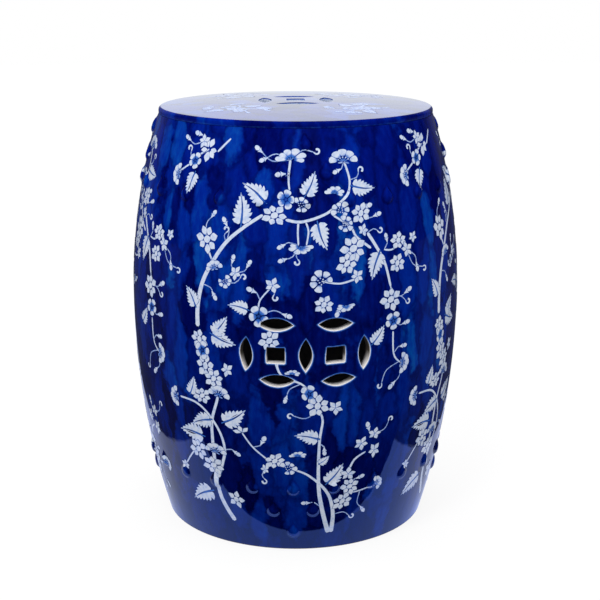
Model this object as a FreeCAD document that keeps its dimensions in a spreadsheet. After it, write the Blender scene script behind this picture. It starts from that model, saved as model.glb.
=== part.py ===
import FreeCAD, Part
import enum
import math
import os

import Sketcher

Vector = FreeCAD.Vector

# Ceramic garden stool, in millimetres: +Z is up, the origin is the middle of the
# footprint, and a pierced pair of coins faces -Y. The barrel is two half shells luted
# together at the belly, with the seat and a foot ring luted on and pressed drops of
# clay stuck round the wall in rows. The coins are cut through wall and seat.

SIZES = {
    # barrel wall: each half is one arc, upright at the belly
    "belly_radius": 176.3,
    "belly_height": 241.0,
    "lower_arc": 861.0,
    "upper_arc": 635.0,
    "wall_height": 438.5,
    "wall_thickness": 11.0,
    "foot_rounding": 1.6,
    # clearances: the slip under a stuck piece, and the play of the seat's spigot
    "slip_bed": 0.2,
    "spigot_play": 0.3,
    # seat slab
    "seat_edge": 6.5,
    "seat_rise": 5.5,
    "seat_rounding": 4.0,
    "spigot_depth": 4.5,
    # foot ring inside the base
    "foot_ring_width": 26.0,
    "foot_ring_height": 10.0,
    # pair of coins cut in the wall, front and back, with their middle below the belly
    "coin_drop": 20.0,
    "coin_step": 19.3,
    "coin_square_width": 18.5,
    "coin_square_height": 16.5,
    "wall_lens_length": 34.0,
    "wall_lens_width": 12.5,
    "upper_lens_rise": 31.0,
    "lower_lens_drop": 26.0,
    # coin cut in the seat
    "seat_square": 19.0,
    "seat_lens_length": 44.0,
    "seat_lens_width": 14.0,
    "seat_lens_reach": 32.5,
    # drop-shaped studs, in rows placed from the wall's top and from the floor
    "stud_half_width": 6.2,
    "stud_relief": 3.0,
    "stud_point": 26.0,
    "ring_studs": 24,
    "groups": 4,
    "upper_tip_drop": 15.5,
    "lower_tip_height": 22.0,
    "stud_row_gap": 26.0,
    "lower_row_turn": 4.0,
}

FRONT = -90.0
SAME_PLACE = 0.01
LEAST_CUT = 1.0


class At(enum.IntEnum):
    """Points of a curve in a sketch."""

    START = 1
    END = 2
    CENTRE = 3


class Axis(enum.IntEnum):
    """A sketch's own axes: across, and up along the stool's axis."""

    ACROSS = -1
    UP = -2


ORIGIN = (Axis.ACROSS, At.START)

doc = FreeCAD.newDocument("garden_stool")
sheet = doc.addObject("Spreadsheet::Sheet", "Sizes")
for row, (name, number) in enumerate(SIZES.items(), start=1):
    sheet.set(f"A{row}", name)
    sheet.set(f"B{row}", str(number))
    sheet.setAlias(f"B{row}", name)
doc.recompute()


def size(name):
    return float(getattr(sheet, name))


# Expressions for the barrel's section, which the seat, ring and studs share.


def arc_radius(arc_name, height, inset="0"):
    """Text of the barrel's radius at a height, on its lower or upper arc."""
    reach = f"(Sizes.{arc_name} - ({inset}))^2 - ({height} - Sizes.belly_height)^2"
    return f"Sizes.belly_radius - Sizes.{arc_name} + sqrt({reach})"


def arc_point(arc_name, height, inset=0.0):
    """The same radius as a number, to draw a sketch near its final form."""
    reach = (size(arc_name) - inset) ** 2 - (height - size("belly_height")) ** 2
    return Vector(size("belly_radius") - size(arc_name) + math.sqrt(reach), height, 0)


def new_body(label):
    body = doc.addObject("PartDesign::Body", label)
    body.Label = label
    body.AllowCompound = True
    return body


def origin_feature(body, role):
    return next(f for f in body.Origin.OriginFeatures if f.Role == role)


def new_sketch(body, name, plane="XZ_Plane"):
    sketch = body.newObject("Sketcher::SketchObject", f"{body.Name}_{name}")
    sketch.AttachmentSupport = [(origin_feature(body, plane), "")]
    sketch.MapMode = "FlatFace"
    return sketch


def fix(sketch, kind, *where):
    sketch.addConstraint(Sketcher.Constraint(kind, *where))


def bind(sketch, kind, *where, to):
    """Adds a driving dimension and ties it to an expression of the sheet."""
    now = float(sketch.evalExpression(to))
    index = sketch.addConstraint(Sketcher.Constraint(kind, *where, now))
    sketch.setExpression(f"Constraints[{index}]", to)


def loop(sketch, geometry):
    """Adds curves in order and joins each one's end to the next one's start."""
    first = sketch.GeometryCount
    sketch.addGeometry([curve for curve, start, end in geometry], False)
    for step, (curve, start, end) in enumerate(geometry):
        after = (step + 1) % len(geometry)
        fix(sketch, "Coincident", first + step, end, first + after, geometry[after][1])
    return first


def line(start, end):
    return (Part.LineSegment(start, end), At.START, At.END)


def arc(start, end, centre, forward):
    """An arc about a centre. A sketch keeps arcs anticlockwise, so forward names the
    way in which the loop passes it."""
    radius = (start - centre).Length
    first, last = (start, end) if forward else (end, start)
    begin = math.atan2(first.y - centre.y, first.x - centre.x)
    finish = math.atan2(last.y - centre.y, last.x - centre.x)
    if finish < begin:
        finish += 2 * math.pi
    circle = Part.Circle(centre, Vector(0, 0, 1), radius)
    ends = (At.START, At.END) if forward else (At.END, At.START)
    return (Part.ArcOfCircle(circle, begin, finish), *ends)


def polygon(sketch, corners):
    count = len(corners)
    return loop(sketch, [line(corners[i], corners[(i + 1) % count]) for i in range(count)])


def revolve(body, sketch, axis="V_Axis"):
    turned = body.newObject("PartDesign::Revolution", f"{body.Name}_turned")
    turned.Profile = sketch
    turned.ReferenceAxis = (sketch, [axis])
    turned.Angle = 360
    doc.recompute()
    return turned


def round_edge(body, name, radius, height, size_name):
    """Rounds the circular edge of the given radius at the given height."""
    base = body.Tip
    edges = [
        f"Edge{index}"
        for index, edge in enumerate(base.Shape.Edges, start=1)
        if abs(edge.BoundBox.ZMax - height) < SAME_PLACE
        and edge.BoundBox.ZLength < SAME_PLACE
        and abs(edge.BoundBox.XMax - radius) < SAME_PLACE
    ]
    fillet = body.newObject("PartDesign::Fillet", f"{body.Name}_{name}")
    fillet.Base = (base, edges)
    fillet.setExpression("Radius", f"Sizes.{size_name}")
    doc.recompute()


def round_step(body, name, angle, copies):
    """A pattern about the stool's axis that still needs to be told what it repeats."""
    pattern = body.newObject("PartDesign::PolarPattern", f"{body.Name}_{name}")
    pattern.Axis = (origin_feature(body, "Z_Axis"), [""])
    pattern.setExpression("Angle", angle)
    pattern.setExpression("Occurrences", copies)
    return pattern


def polar(body, feature, name, copies, angle="360"):
    pattern = round_step(body, name, angle, copies)
    pattern.Originals = [feature]
    body.Tip = pattern
    doc.recompute()


def check_cut(feature, before):
    if feature.Shape.Volume >= before - LEAST_CUT:
        raise RuntimeError(f"{feature.Name} cuts nothing")


def cut_through(body, sketch, name):
    """Cuts a sketch right through the body, and makes sure that clay was taken."""
    before = body.Shape.Volume
    pocket = body.newObject("PartDesign::Pocket", f"{body.Name}_{name}")
    pocket.Profile = sketch
    pocket.Type = "ThroughAll"
    pocket.SideType = "Symmetric"
    doc.recompute()
    check_cut(pocket, before)
    return pocket


def lens(sketch, up, length, width, upright):
    """A pointed oval of two equal arcs, centred across the sketch at a height."""
    half, side = size(length) / 2, size(width) / 2
    bow = (half**2 + side**2) / (2 * side)
    middle = Vector(0, float(sketch.evalExpression(up)), 0)
    along = Vector(0, 1, 0) if upright else Vector(1, 0, 0)
    out = Vector(1, 0, 0) if upright else Vector(0, -1, 0)
    low, high = middle - along * half, middle + along * half
    there = arc(low, high, middle - out * (bow - side), True)
    back = arc(high, low, middle + out * (bow - side), True)
    first = loop(sketch, [there, back])
    tips = (first, At.START, first, At.END)
    radius = f"(Sizes.{length}^2 + Sizes.{width}^2) / (4 * Sizes.{width})"
    for curve in (first, first + 1):
        bind(sketch, "Radius", curve, to=radius)
    if upright:
        fix(sketch, "PointOnObject", first, At.START, Axis.UP)
        fix(sketch, "PointOnObject", first, At.END, Axis.UP)
        bind(sketch, "DistanceY", *tips, to=f"Sizes.{length}")
        bind(sketch, "DistanceY", *ORIGIN, first, At.START, to=f"{up} - Sizes.{length} / 2")
    else:
        fix(sketch, "Horizontal", *tips)
        bind(sketch, "DistanceX", *tips, to=f"Sizes.{length}")
        bind(sketch, "DistanceX", *ORIGIN, first, At.END, to=f"Sizes.{length} / 2")
        bind(sketch, "DistanceY", *ORIGIN, first, At.START, to=up)


def rectangle(sketch, up, width, height):
    """A rectangle centred across the sketch, with its middle at a height."""
    side, half = size(width) / 2, size(height) / 2
    middle = float(sketch.evalExpression(up))
    signs = ((-1, -1), (1, -1), (1, 1), (-1, 1))
    corners = [Vector(across * side, middle + rise * half, 0) for across, rise in signs]
    base = polygon(sketch, corners)
    right, top, left = base + 1, base + 2, base + 3
    fix(sketch, "Vertical", right)
    fix(sketch, "Horizontal", top)
    fix(sketch, "Vertical", left)
    fix(sketch, "Symmetric", base, At.START, base, At.END, Axis.UP)
    bind(sketch, "DistanceX", base, At.START, base, At.END, to=f"Sizes.{width}")
    bind(sketch, "DistanceY", right, At.START, right, At.END, to=f"Sizes.{height}")
    bind(sketch, "DistanceY", *ORIGIN, base, At.END, to=f"{up} - Sizes.{height} / 2")


# Half shells of the barrel. The belly is the seam, because each half has to leave its
# mould at the widest place. Both meet there on a flat ring.


def half_shell(label, arc_name, end_height, end_text):
    body = new_body(label)
    sketch = new_sketch(body, "section")
    wall = size("wall_thickness")
    belly = size("belly_height")
    centre = Vector(size("belly_radius") - size(arc_name), belly, 0)
    upward = end_height > belly
    outer_belly = arc_point(arc_name, belly)
    outer_end = arc_point(arc_name, end_height)
    inner_end = arc_point(arc_name, end_height, wall)
    inner_belly = arc_point(arc_name, belly, wall)
    outline = [
        arc(outer_belly, outer_end, centre, upward),
        line(outer_end, inner_end),
        arc(inner_end, inner_belly, centre, not upward),
        line(inner_belly, outer_belly),
    ]
    outer = loop(sketch, outline)
    inner = outer + 2
    belly_end, far_end = (At.START, At.END) if upward else (At.END, At.START)
    fix(sketch, "Coincident", outer, At.CENTRE, inner, At.CENTRE)
    for curve in (outer, inner):
        bind(sketch, "DistanceY", *ORIGIN, curve, belly_end, to="Sizes.belly_height")
        if end_text == "0":
            fix(sketch, "PointOnObject", curve, far_end, Axis.ACROSS)
        else:
            bind(sketch, "DistanceY", *ORIGIN, curve, far_end, to=end_text)
    fix(sketch, "Horizontal", outer, At.CENTRE, outer, belly_end)
    bind(sketch, "DistanceX", *ORIGIN, outer, belly_end, to="Sizes.belly_radius")
    bind(sketch, "Radius", outer, to=f"Sizes.{arc_name}")
    bind(sketch, "Radius", inner, to=f"Sizes.{arc_name} - Sizes.wall_thickness")
    revolve(body, sketch)
    return body


COIN_MIDDLE = "Sizes.belly_height - Sizes.coin_drop"


def coin_sketch(body, name, turn):
    """A sketch square to the wall, turned about the stool's axis from the front."""
    sketch = new_sketch(body, name)
    turned = FreeCAD.Rotation(Vector(0, 1, 0), size("coin_step") * turn)
    sketch.AttachmentOffset = FreeCAD.Placement(Vector(0, 0, 0), turned)
    sketch.setExpression("AttachmentOffset.Rotation.Angle", f"Sizes.coin_step * {turn}")
    return sketch


def cut_lenses(body, name, turn, copies, height, upright):
    """Cuts a lens in front and back, and repeats it a coin's step further round."""
    sketch = coin_sketch(body, name, turn)
    lens(sketch, height, "wall_lens_length", "wall_lens_width", upright)
    doc.recompute()
    pocket = cut_through(body, sketch, f"{name}_cut")
    polar(body, pocket, f"{name}_row", str(copies), f"Sizes.coin_step * {copies - 1}")


def make_lower_shell():
    body = half_shell("barrel_lower", "lower_arc", 0.0, "0")
    foot = arc_point("lower_arc", 0.0)
    round_edge(body, "foot_edge", foot.x, 0.0, "foot_rounding")
    cut_lenses(body, "side_lens", -1, 3, COIN_MIDDLE, True)
    sketch = coin_sketch(body, "square", -0.5)
    rectangle(sketch, COIN_MIDDLE, "coin_square_width", "coin_square_height")
    doc.recompute()
    pocket = cut_through(body, sketch, "square_cut")
    polar(body, pocket, "square_row", "2", "Sizes.coin_step")
    low_middle = f"{COIN_MIDDLE} - Sizes.lower_lens_drop"
    cut_lenses(body, "low_lens", -0.5, 2, low_middle, False)
    return body


def make_upper_shell():
    body = half_shell("barrel_upper", "upper_arc", size("wall_height"), "Sizes.wall_height")
    high_middle = f"{COIN_MIDDLE} + Sizes.upper_lens_rise"
    cut_lenses(body, "high_lens", -0.5, 2, high_middle, False)
    return body


# Seat: a slab with a slight rise. Its edge lies on the wall's top, in line with the
# wall's face, and a shallow spigot centres it in the mouth of the barrel.


def make_seat():
    body = new_body("seat")
    wall = size("wall_thickness")
    top = size("wall_height")
    edge_radius = arc_point("upper_arc", top).x
    spigot_radius = arc_point("upper_arc", top, wall).x - size("spigot_play")
    rise = size("seat_rise")
    rim = top + size("seat_edge")
    below = top - size("spigot_depth")

    def crown(radius, height):
        """Middle of the sphere whose cap stands rise high over a circle."""
        ball = (radius**2 + rise**2) / (2 * rise)
        return Vector(0, height + rise - ball, 0)

    top_middle = Vector(0, rim + rise, 0)
    low_middle = Vector(0, below + rise, 0)
    rim_corner = Vector(edge_radius, rim, 0)
    rest_corner = Vector(edge_radius, top, 0)
    step_corner = Vector(spigot_radius, top, 0)
    low_corner = Vector(spigot_radius, below, 0)
    outline = [
        arc(top_middle, rim_corner, crown(edge_radius, rim), False),
        line(rim_corner, rest_corner),
        line(rest_corner, step_corner),
        line(step_corner, low_corner),
        arc(low_corner, low_middle, crown(spigot_radius, below), True),
        line(low_middle, top_middle),
    ]
    sketch = new_sketch(body, "section")
    first = loop(sketch, outline)
    top_arc, edge, rest, spigot, low_arc, axis = range(first, first + len(outline))
    for crown_arc in (top_arc, low_arc):
        fix(sketch, "PointOnObject", crown_arc, At.CENTRE, Axis.UP)
        fix(sketch, "PointOnObject", crown_arc, At.END, Axis.UP)
    for upright in (edge, spigot):
        fix(sketch, "Vertical", upright)
    fix(sketch, "Horizontal", rest)
    edge_text = arc_radius("upper_arc", "Sizes.wall_height")
    mouth_text = arc_radius("upper_arc", "Sizes.wall_height", "Sizes.wall_thickness")
    spigot_text = f"{mouth_text} - Sizes.spigot_play"
    bind(sketch, "DistanceX", *ORIGIN, edge, At.END, to=edge_text)
    bind(sketch, "DistanceX", *ORIGIN, spigot, At.START, to=spigot_text)
    bind(sketch, "DistanceY", *ORIGIN, edge, At.END, to="Sizes.wall_height")
    bind(sketch, "DistanceY", edge, At.END, edge, At.START, to="Sizes.seat_edge")
    bind(sketch, "DistanceY", spigot, At.END, spigot, At.START, to="Sizes.spigot_depth")
    bind(sketch, "DistanceY", edge, At.START, top_arc, At.END, to="Sizes.seat_rise")
    bind(sketch, "DistanceY", spigot, At.END, low_arc, At.END, to="Sizes.seat_rise")
    revolve(body, sketch)
    round_edge(body, "rim", edge_radius, rim, "seat_rounding")
    square = new_sketch(body, "square", "XY_Plane")
    rectangle(square, "0", "seat_square", "seat_square")
    doc.recompute()
    cut_through(body, square, "square_cut")
    petal = new_sketch(body, "lens", "XY_Plane")
    lens(petal, "Sizes.seat_lens_reach", "seat_lens_length", "seat_lens_width", False)
    doc.recompute()
    pocket = cut_through(body, petal, "lens_cut")
    polar(body, pocket, "lens_ring", "4")
    return body


# Foot ring: a coil of clay inside the base, trimmed level with the wall's foot to give
# the stool a broad flat ring to stand on.


def make_foot_ring():
    body = new_body("foot_ring")
    bed = Vector(size("slip_bed"), 0, 0)
    wall = size("wall_thickness")
    thick = size("foot_ring_height")
    foot = arc_point("lower_arc", 0.0, wall) - bed
    brow = arc_point("lower_arc", thick, wall) - bed
    inside = foot - Vector(size("foot_ring_width"), 0, 0)
    inside_top = Vector(inside.x, thick, 0)
    sketch = new_sketch(body, "section")
    slope = polygon(sketch, [foot, brow, inside_top, inside])
    level, bore, base = slope + 1, slope + 2, slope + 3
    fix(sketch, "Horizontal", level)
    fix(sketch, "Vertical", bore)
    for end in (At.START, At.END):
        fix(sketch, "PointOnObject", base, end, Axis.ACROSS)
    for height, end in (("0", At.START), ("Sizes.foot_ring_height", At.END)):
        wall_text = arc_radius("lower_arc", height, "Sizes.wall_thickness")
        bind(sketch, "DistanceX", *ORIGIN, slope, end, to=f"{wall_text} - Sizes.slip_bed")
    bind(sketch, "DistanceX", base, At.START, base, At.END, to="Sizes.foot_ring_width")
    bind(sketch, "DistanceY", bore, At.END, bore, At.START, to="Sizes.foot_ring_height")
    revolve(body, sketch)
    return body


# Studs: drops of clay pressed in a small mould and stuck on with slip. Each is a ball
# drawn out to a point at its top, of which only the front stands out of the wall.


def make_drop(body, arc_name, height_text):
    """Turns one whole drop, standing on the wall at +X."""
    sketch = new_sketch(body, "drop")
    height = float(sketch.evalExpression(height_text))
    slope = math.asin((height - size("belly_height")) / size(arc_name))
    lean = FreeCAD.Rotation(Vector(0, 0, 1), math.degrees(slope))
    sketch.AttachmentOffset = FreeCAD.Placement(arc_point(arc_name, height), lean)
    lean_text = f"asin(({height_text} - Sizes.belly_height) / Sizes.{arc_name})"
    sketch.setExpression("AttachmentOffset.Base.x", arc_radius(arc_name, height_text))
    sketch.setExpression("AttachmentOffset.Base.y", height_text)
    sketch.setExpression("AttachmentOffset.Rotation.Angle", lean_text)
    half, relief = size("stud_half_width"), size("stud_relief")
    ball = (half**2 + relief**2) / (2 * relief)
    tip = size("stud_point")
    centre = Vector(relief - ball, 0, 0)
    touch = centre + Vector(ball * math.sqrt(1 - (ball / tip) ** 2), ball * ball / tip, 0)
    low = centre - Vector(0, ball, 0)
    high = centre + Vector(0, tip, 0)
    outline = [arc(low, touch, centre, True), line(touch, high), line(high, low)]
    belly = loop(sketch, outline)
    core = belly + 2
    fix(sketch, "PointOnObject", belly, At.CENTRE, core)
    fix(sketch, "PointOnObject", belly, At.CENTRE, Axis.ACROSS)
    fix(sketch, "Vertical", core)
    ball_text = "((Sizes.stud_half_width^2 + Sizes.stud_relief^2) / (2 * Sizes.stud_relief))"
    touch_text = f"{ball_text}^2 / Sizes.stud_point"
    depth_text = f"{ball_text} - Sizes.stud_relief"
    bind(sketch, "Radius", belly, to=ball_text)
    bind(sketch, "DistanceY", belly, At.CENTRE, belly, At.END, to=touch_text)
    bind(sketch, "DistanceX", belly, At.CENTRE, *ORIGIN, to=depth_text)
    bind(sketch, "DistanceY", belly, At.CENTRE, core, At.START, to="Sizes.stud_point")
    doc.recompute()
    return revolve(body, sketch, f"Edge{core + 1}")


def seat_on_wall(body, arc_name, height_text):
    """Takes away what lies behind the wall's face and its bed of slip."""
    sketch = new_sketch(body, "wall_face")
    low_text = f"{height_text} - 2 * Sizes.stud_point"
    high_text = f"{height_text} + 2 * Sizes.stud_point"
    low, high = (float(sketch.evalExpression(text)) for text in (low_text, high_text))
    bed = -size("slip_bed")
    centre = Vector(size("belly_radius") - size(arc_name), size("belly_height"), 0)
    low_face = arc_point(arc_name, low, bed)
    high_face = arc_point(arc_name, high, bed)
    low_axis = Vector(0, low, 0)
    high_axis = Vector(0, high, 0)
    outline = [
        arc(low_face, high_face, centre, True),
        line(high_face, high_axis),
        line(high_axis, low_axis),
        line(low_axis, low_face),
    ]
    face = loop(sketch, outline)
    lid, axis, floor = face + 1, face + 2, face + 3
    for level in (lid, floor):
        fix(sketch, "Horizontal", level)
    for end in (At.START, At.END):
        fix(sketch, "PointOnObject", axis, end, Axis.UP)
    back_text = f"Sizes.{arc_name} - Sizes.belly_radius"
    bind(sketch, "Radius", face, to=f"Sizes.{arc_name} + Sizes.slip_bed")
    bind(sketch, "DistanceY", *ORIGIN, face, At.CENTRE, to="Sizes.belly_height")
    bind(sketch, "DistanceX", face, At.CENTRE, *ORIGIN, to=back_text)
    bind(sketch, "DistanceY", *ORIGIN, face, At.START, to=low_text)
    bind(sketch, "DistanceY", *ORIGIN, face, At.END, to=high_text)
    doc.recompute()
    before = body.Shape.Volume
    groove = body.newObject("PartDesign::Groove", f"{body.Name}_seating")
    groove.Profile = sketch
    groove.ReferenceAxis = (sketch, ["V_Axis"])
    groove.Angle = 360
    doc.recompute()
    check_cut(groove, before)


RING_STEP = "360 / Sizes.ring_studs"
ROWS_IN = {"ring": 2, "pairs": 1, "tips": 0}


def make_studs(end, pattern):
    """One row of studs at the stool's upper or lower end. The tips are the outermost
    row, and the others follow towards the belly."""
    arc_name = f"{end}_arc"
    inward = f"{ROWS_IN[pattern]} * Sizes.stud_row_gap"
    if end == "upper":
        height_text = f"(Sizes.wall_height - Sizes.upper_tip_drop - {inward})"
        turn = "0"
    else:
        height_text = f"(Sizes.lower_tip_height + {inward})"
        turn = "-Sizes.lower_row_turn"
    body = new_body(f"studs_{end}_{pattern}")
    drop = make_drop(body, arc_name, height_text)
    if pattern == "ring":
        polar(body, drop, "row", "Sizes.ring_studs")
    elif pattern == "tips":
        polar(body, drop, "row", "Sizes.groups")
    else:
        turn += f" - {RING_STEP} / 2"
        group = body.newObject("PartDesign::MultiTransform", f"{body.Name}_row")
        pair = round_step(body, "pair", RING_STEP, "2")
        whole = round_step(body, "round", "360", "Sizes.groups")
        group.Originals = [drop]
        group.Transformations = [pair, whole]
        body.Tip = group
        doc.recompute()
    seat_on_wall(body, arc_name, height_text)
    body.Placement.Rotation = FreeCAD.Rotation(Vector(0, 0, 1), FRONT)
    body.setExpression("Placement.Rotation.Angle", f"{FRONT} + {turn}")
    doc.recompute()
    return body


pieces = [make_lower_shell(), make_upper_shell(), make_seat(), make_foot_ring()]
pieces += [make_studs(end, pattern) for end in ("upper", "lower") for pattern in ROWS_IN]
doc.recompute()

for item in doc.Objects:
    if "Invalid" in item.State or "Error" in item.State:
        raise RuntimeError(f"{item.Name} failed: {item.State}")
for piece in pieces:
    if piece.Shape.isNull() or not piece.Shape.isValid():
        raise RuntimeError(f"{piece.Label} has no valid shape")

os.makedirs("parts", exist_ok=True)
for piece in pieces:
    piece.Shape.exportStep(f"parts/{piece.Label}.step")
    litres = piece.Shape.Volume / 1e6
    print(f"{piece.Label}: {len(piece.Shape.Solids)} solid(s), {litres:.3f} litres")
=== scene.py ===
import math
import random

import bmesh
import bpy
from mathutils import Euler, Matrix, Vector


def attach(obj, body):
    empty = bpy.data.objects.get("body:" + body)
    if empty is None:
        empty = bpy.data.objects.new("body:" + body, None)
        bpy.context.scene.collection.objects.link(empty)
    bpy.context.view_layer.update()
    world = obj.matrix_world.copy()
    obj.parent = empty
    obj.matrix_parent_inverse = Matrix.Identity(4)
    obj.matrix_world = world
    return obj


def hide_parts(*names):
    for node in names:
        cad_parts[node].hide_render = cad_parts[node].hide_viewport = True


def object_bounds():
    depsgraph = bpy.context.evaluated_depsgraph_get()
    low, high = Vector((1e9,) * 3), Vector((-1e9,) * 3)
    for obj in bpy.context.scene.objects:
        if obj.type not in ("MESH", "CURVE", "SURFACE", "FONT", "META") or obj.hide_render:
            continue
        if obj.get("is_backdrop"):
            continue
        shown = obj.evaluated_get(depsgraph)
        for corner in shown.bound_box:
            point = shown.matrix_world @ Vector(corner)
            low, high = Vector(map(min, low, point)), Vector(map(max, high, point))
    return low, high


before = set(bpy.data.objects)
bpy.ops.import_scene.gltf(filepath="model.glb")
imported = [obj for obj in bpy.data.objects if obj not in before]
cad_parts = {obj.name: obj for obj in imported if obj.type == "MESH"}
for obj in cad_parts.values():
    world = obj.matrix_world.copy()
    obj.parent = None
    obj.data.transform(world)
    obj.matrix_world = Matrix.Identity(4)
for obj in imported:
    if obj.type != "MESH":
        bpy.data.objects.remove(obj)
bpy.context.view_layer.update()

# The wall: two half shells of clay, pressed in moulds and luted together at the belly, 11 mm thick.
# Brushed all over with cobalt, in short upright dabs that overlap, and fired under a clear glaze
# that hides the join. The inside is left as bare clay, and the foot is wiped clean. Their clay is
# coloured dark, as painted shade inside the barrel and along the floor.
BELLY_RADIUS = 0.1763
BELLY_HEIGHT = 0.241
LOWER_ARC = 0.861
UPPER_ARC = 0.635
WALL_HEIGHT = 0.4385
WALL_THICKNESS = 0.011
FOOT_ROUNDING = 0.0016
WIPED_EDGE = 0.0012
WALL_TURNS = 384
SAME_POINT = 0.000002


def wall_radius(height, depth=0.0):
    """Radius of the wall at a height, depth metres in from its face."""
    arc = UPPER_ARC if height > BELLY_HEIGHT else LOWER_ARC
    return BELLY_RADIUS - arc + math.sqrt((arc - depth) ** 2 - (height - BELLY_HEIGHT) ** 2)


def on_wall(angle, height, lift=0.0):
    """A point on the wall, angle degrees to the right of the front's middle."""
    turn = math.radians(angle)
    radius = wall_radius(height) + lift
    return Vector((radius * math.sin(turn), -radius * math.cos(turn), height))


def wall_normal(point):
    """The direction straight out of the wall next to a point."""
    arc = UPPER_ARC if point.z > BELLY_HEIGHT else LOWER_ARC
    out = Vector((point.x, point.y, 0)).normalized() * (math.hypot(point.x, point.y) - BELLY_RADIUS + arc)
    return Vector((out.x, out.y, point.z - BELLY_HEIGHT)).normalized()


def turned_shell(name, section, turns):
    """Spins a closed section about the upright axis, as clay is turned on a wheel."""
    bpy.ops.object.select_all(action="DESELECT")
    bpy.ops.mesh.primitive_circle_add(vertices=len(section), radius=0.1)
    shell = bpy.context.object
    shell.name = name
    for corner, (across, up) in zip(shell.data.vertices, section):
        corner.co = (across, 0, up)
    bpy.ops.object.mode_set(mode="EDIT")
    bpy.ops.mesh.select_all(action="SELECT")
    bpy.ops.mesh.spin(steps=turns, angle=math.tau, center=(0, 0, 0), axis=(0, 0, 1))
    bpy.ops.mesh.select_all(action="SELECT")
    bpy.ops.mesh.remove_doubles(threshold=SAME_POINT)
    bpy.ops.mesh.normals_make_consistent(inside=False)
    bpy.ops.object.mode_set(mode="OBJECT")
    return shell


def take_up(*pieces):
    """Selects these pieces alone, the first as the one to work on."""
    bpy.ops.object.select_all(action="DESELECT")
    for piece in pieces:
        piece.select_set(True)
    bpy.context.view_layer.objects.active = pieces[0]


def smooth_to(piece, true_normal, keep_angle=0.35, lifted=lambda point: False):
    """Shades a piece smooth. Faces that lie along the true surface get that surface's own normals."""
    take_up(piece)
    bpy.ops.object.shade_smooth_by_angle(angle=math.radians(35))
    mesh = piece.data
    normals = [corner.vector.copy() for corner in mesh.corner_normals]
    for face in mesh.polygons:
        if face.normal.dot(true_normal(face.center)) > keep_angle and not lifted(face.center):
            for loop in face.loop_indices:
                normals[loop] = true_normal(mesh.vertices[mesh.loops[loop].vertex_index].co)
    mesh.normals_split_custom_set(normals)


def coat(piece, finish):
    """Gives a piece one finish all over."""
    piece.data.materials.clear()
    piece.data.materials.append(finish)


def node(tree, kind, place, inputs=None, **settings):
    """Adds a node. Its inputs, by name or number, are plain values or other nodes' outputs."""
    made = tree.nodes.new(kind)
    made.location = place
    for key, value in settings.items():
        setattr(made, key, value)
    for key, value in (inputs or {}).items():
        if isinstance(value, bpy.types.NodeSocket):
            tree.links.new(value, made.inputs[key])
        else:
            made.inputs[key].default_value = value
    return made


def reckon(tree, place, operation, *values):
    """One step of arithmetic, on numbers or other nodes' outputs."""
    return node(tree, "ShaderNodeMath", place, dict(enumerate(values)), operation=operation).outputs[0]


def ranged(tree, place, value, start, end, low=0.0, high=1.0, curve="LINEAR"):
    """Takes a value that runs from start to end, and runs it from low to high."""
    limits = {"Value": value, "From Min": start, "From Max": end, "To Min": low, "To Max": high}
    return node(tree, "ShaderNodeMapRange", place, limits, interpolation_type=curve).outputs[0]


def noise(tree, place, vector, scale, detail, roughness=0.5, distortion=0.0):
    """Cloudy texture, whose colour and strength are the node's outputs."""
    grain = {"Vector": vector, "Scale": scale, "Detail": detail}
    grain.update({"Roughness": roughness, "Distortion": distortion})
    return node(tree, "ShaderNodeTexNoise", place, grain).outputs


def vectored(tree, place, operation, inputs):
    """One step of arithmetic on places or directions."""
    return node(tree, "ShaderNodeVectorMath", place, inputs, operation=operation).outputs[0]


def mixed(tree, place, share, first, second, way="MIX"):
    """The first colour where share is 0, and the second, or what the way makes of both, where it is 1."""
    colours = {0: share, 6: first, 7: second}
    return node(tree, "ShaderNodeMix", place, colours, data_type="RGBA", blend_type=way).outputs[2]


# Cobalt brushed under the glaze, as a group: dabs with darker seams between them, paler where the Pale
# input rises, as over the studs' crowns, greener where the glaze lies thick, and deeper towards the foot,
# partly from thinner glaze towards the top and partly as painted shade on the lower wall, turned from the
# light.
DAB_STRETCH = (1.0, 1.0, 0.3)
BLUES = (
    # how far up the scale of blues, and the blue
    (0.0, (0.0001, 0.0006, 0.046, 1)),
    (0.22, (0.0002, 0.002, 0.09, 1)),
    (0.45, (0.0003, 0.0068, 0.19, 1)),
    (0.66, (0.0005, 0.017, 0.28, 1)),
    (0.84, (0.002, 0.05, 0.36, 1)),
    (1.0, (0.006, 0.11, 0.44, 1)),
)
SEAM_BLUE = (0.25, 0.3, 0.42, 1)
LOW_BLUE = (1.0, 1.85, 0.94, 1)
brushed = bpy.data.node_groups.new("brushed cobalt", "ShaderNodeTree")
for name, start in (("Dab Scale", 52.0), ("Seam", 0.5), ("Pale", 0.0)):
    socket = brushed.interface.new_socket(name=name, in_out="INPUT", socket_type="NodeSocketFloat")
    socket.default_value = start
for name, kind in (("Color", "NodeSocketColor"), ("Height", "NodeSocketFloat"), ("Cloud", "NodeSocketFloat")):
    brushed.interface.new_socket(name=name, in_out="OUTPUT", socket_type=kind)


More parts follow.
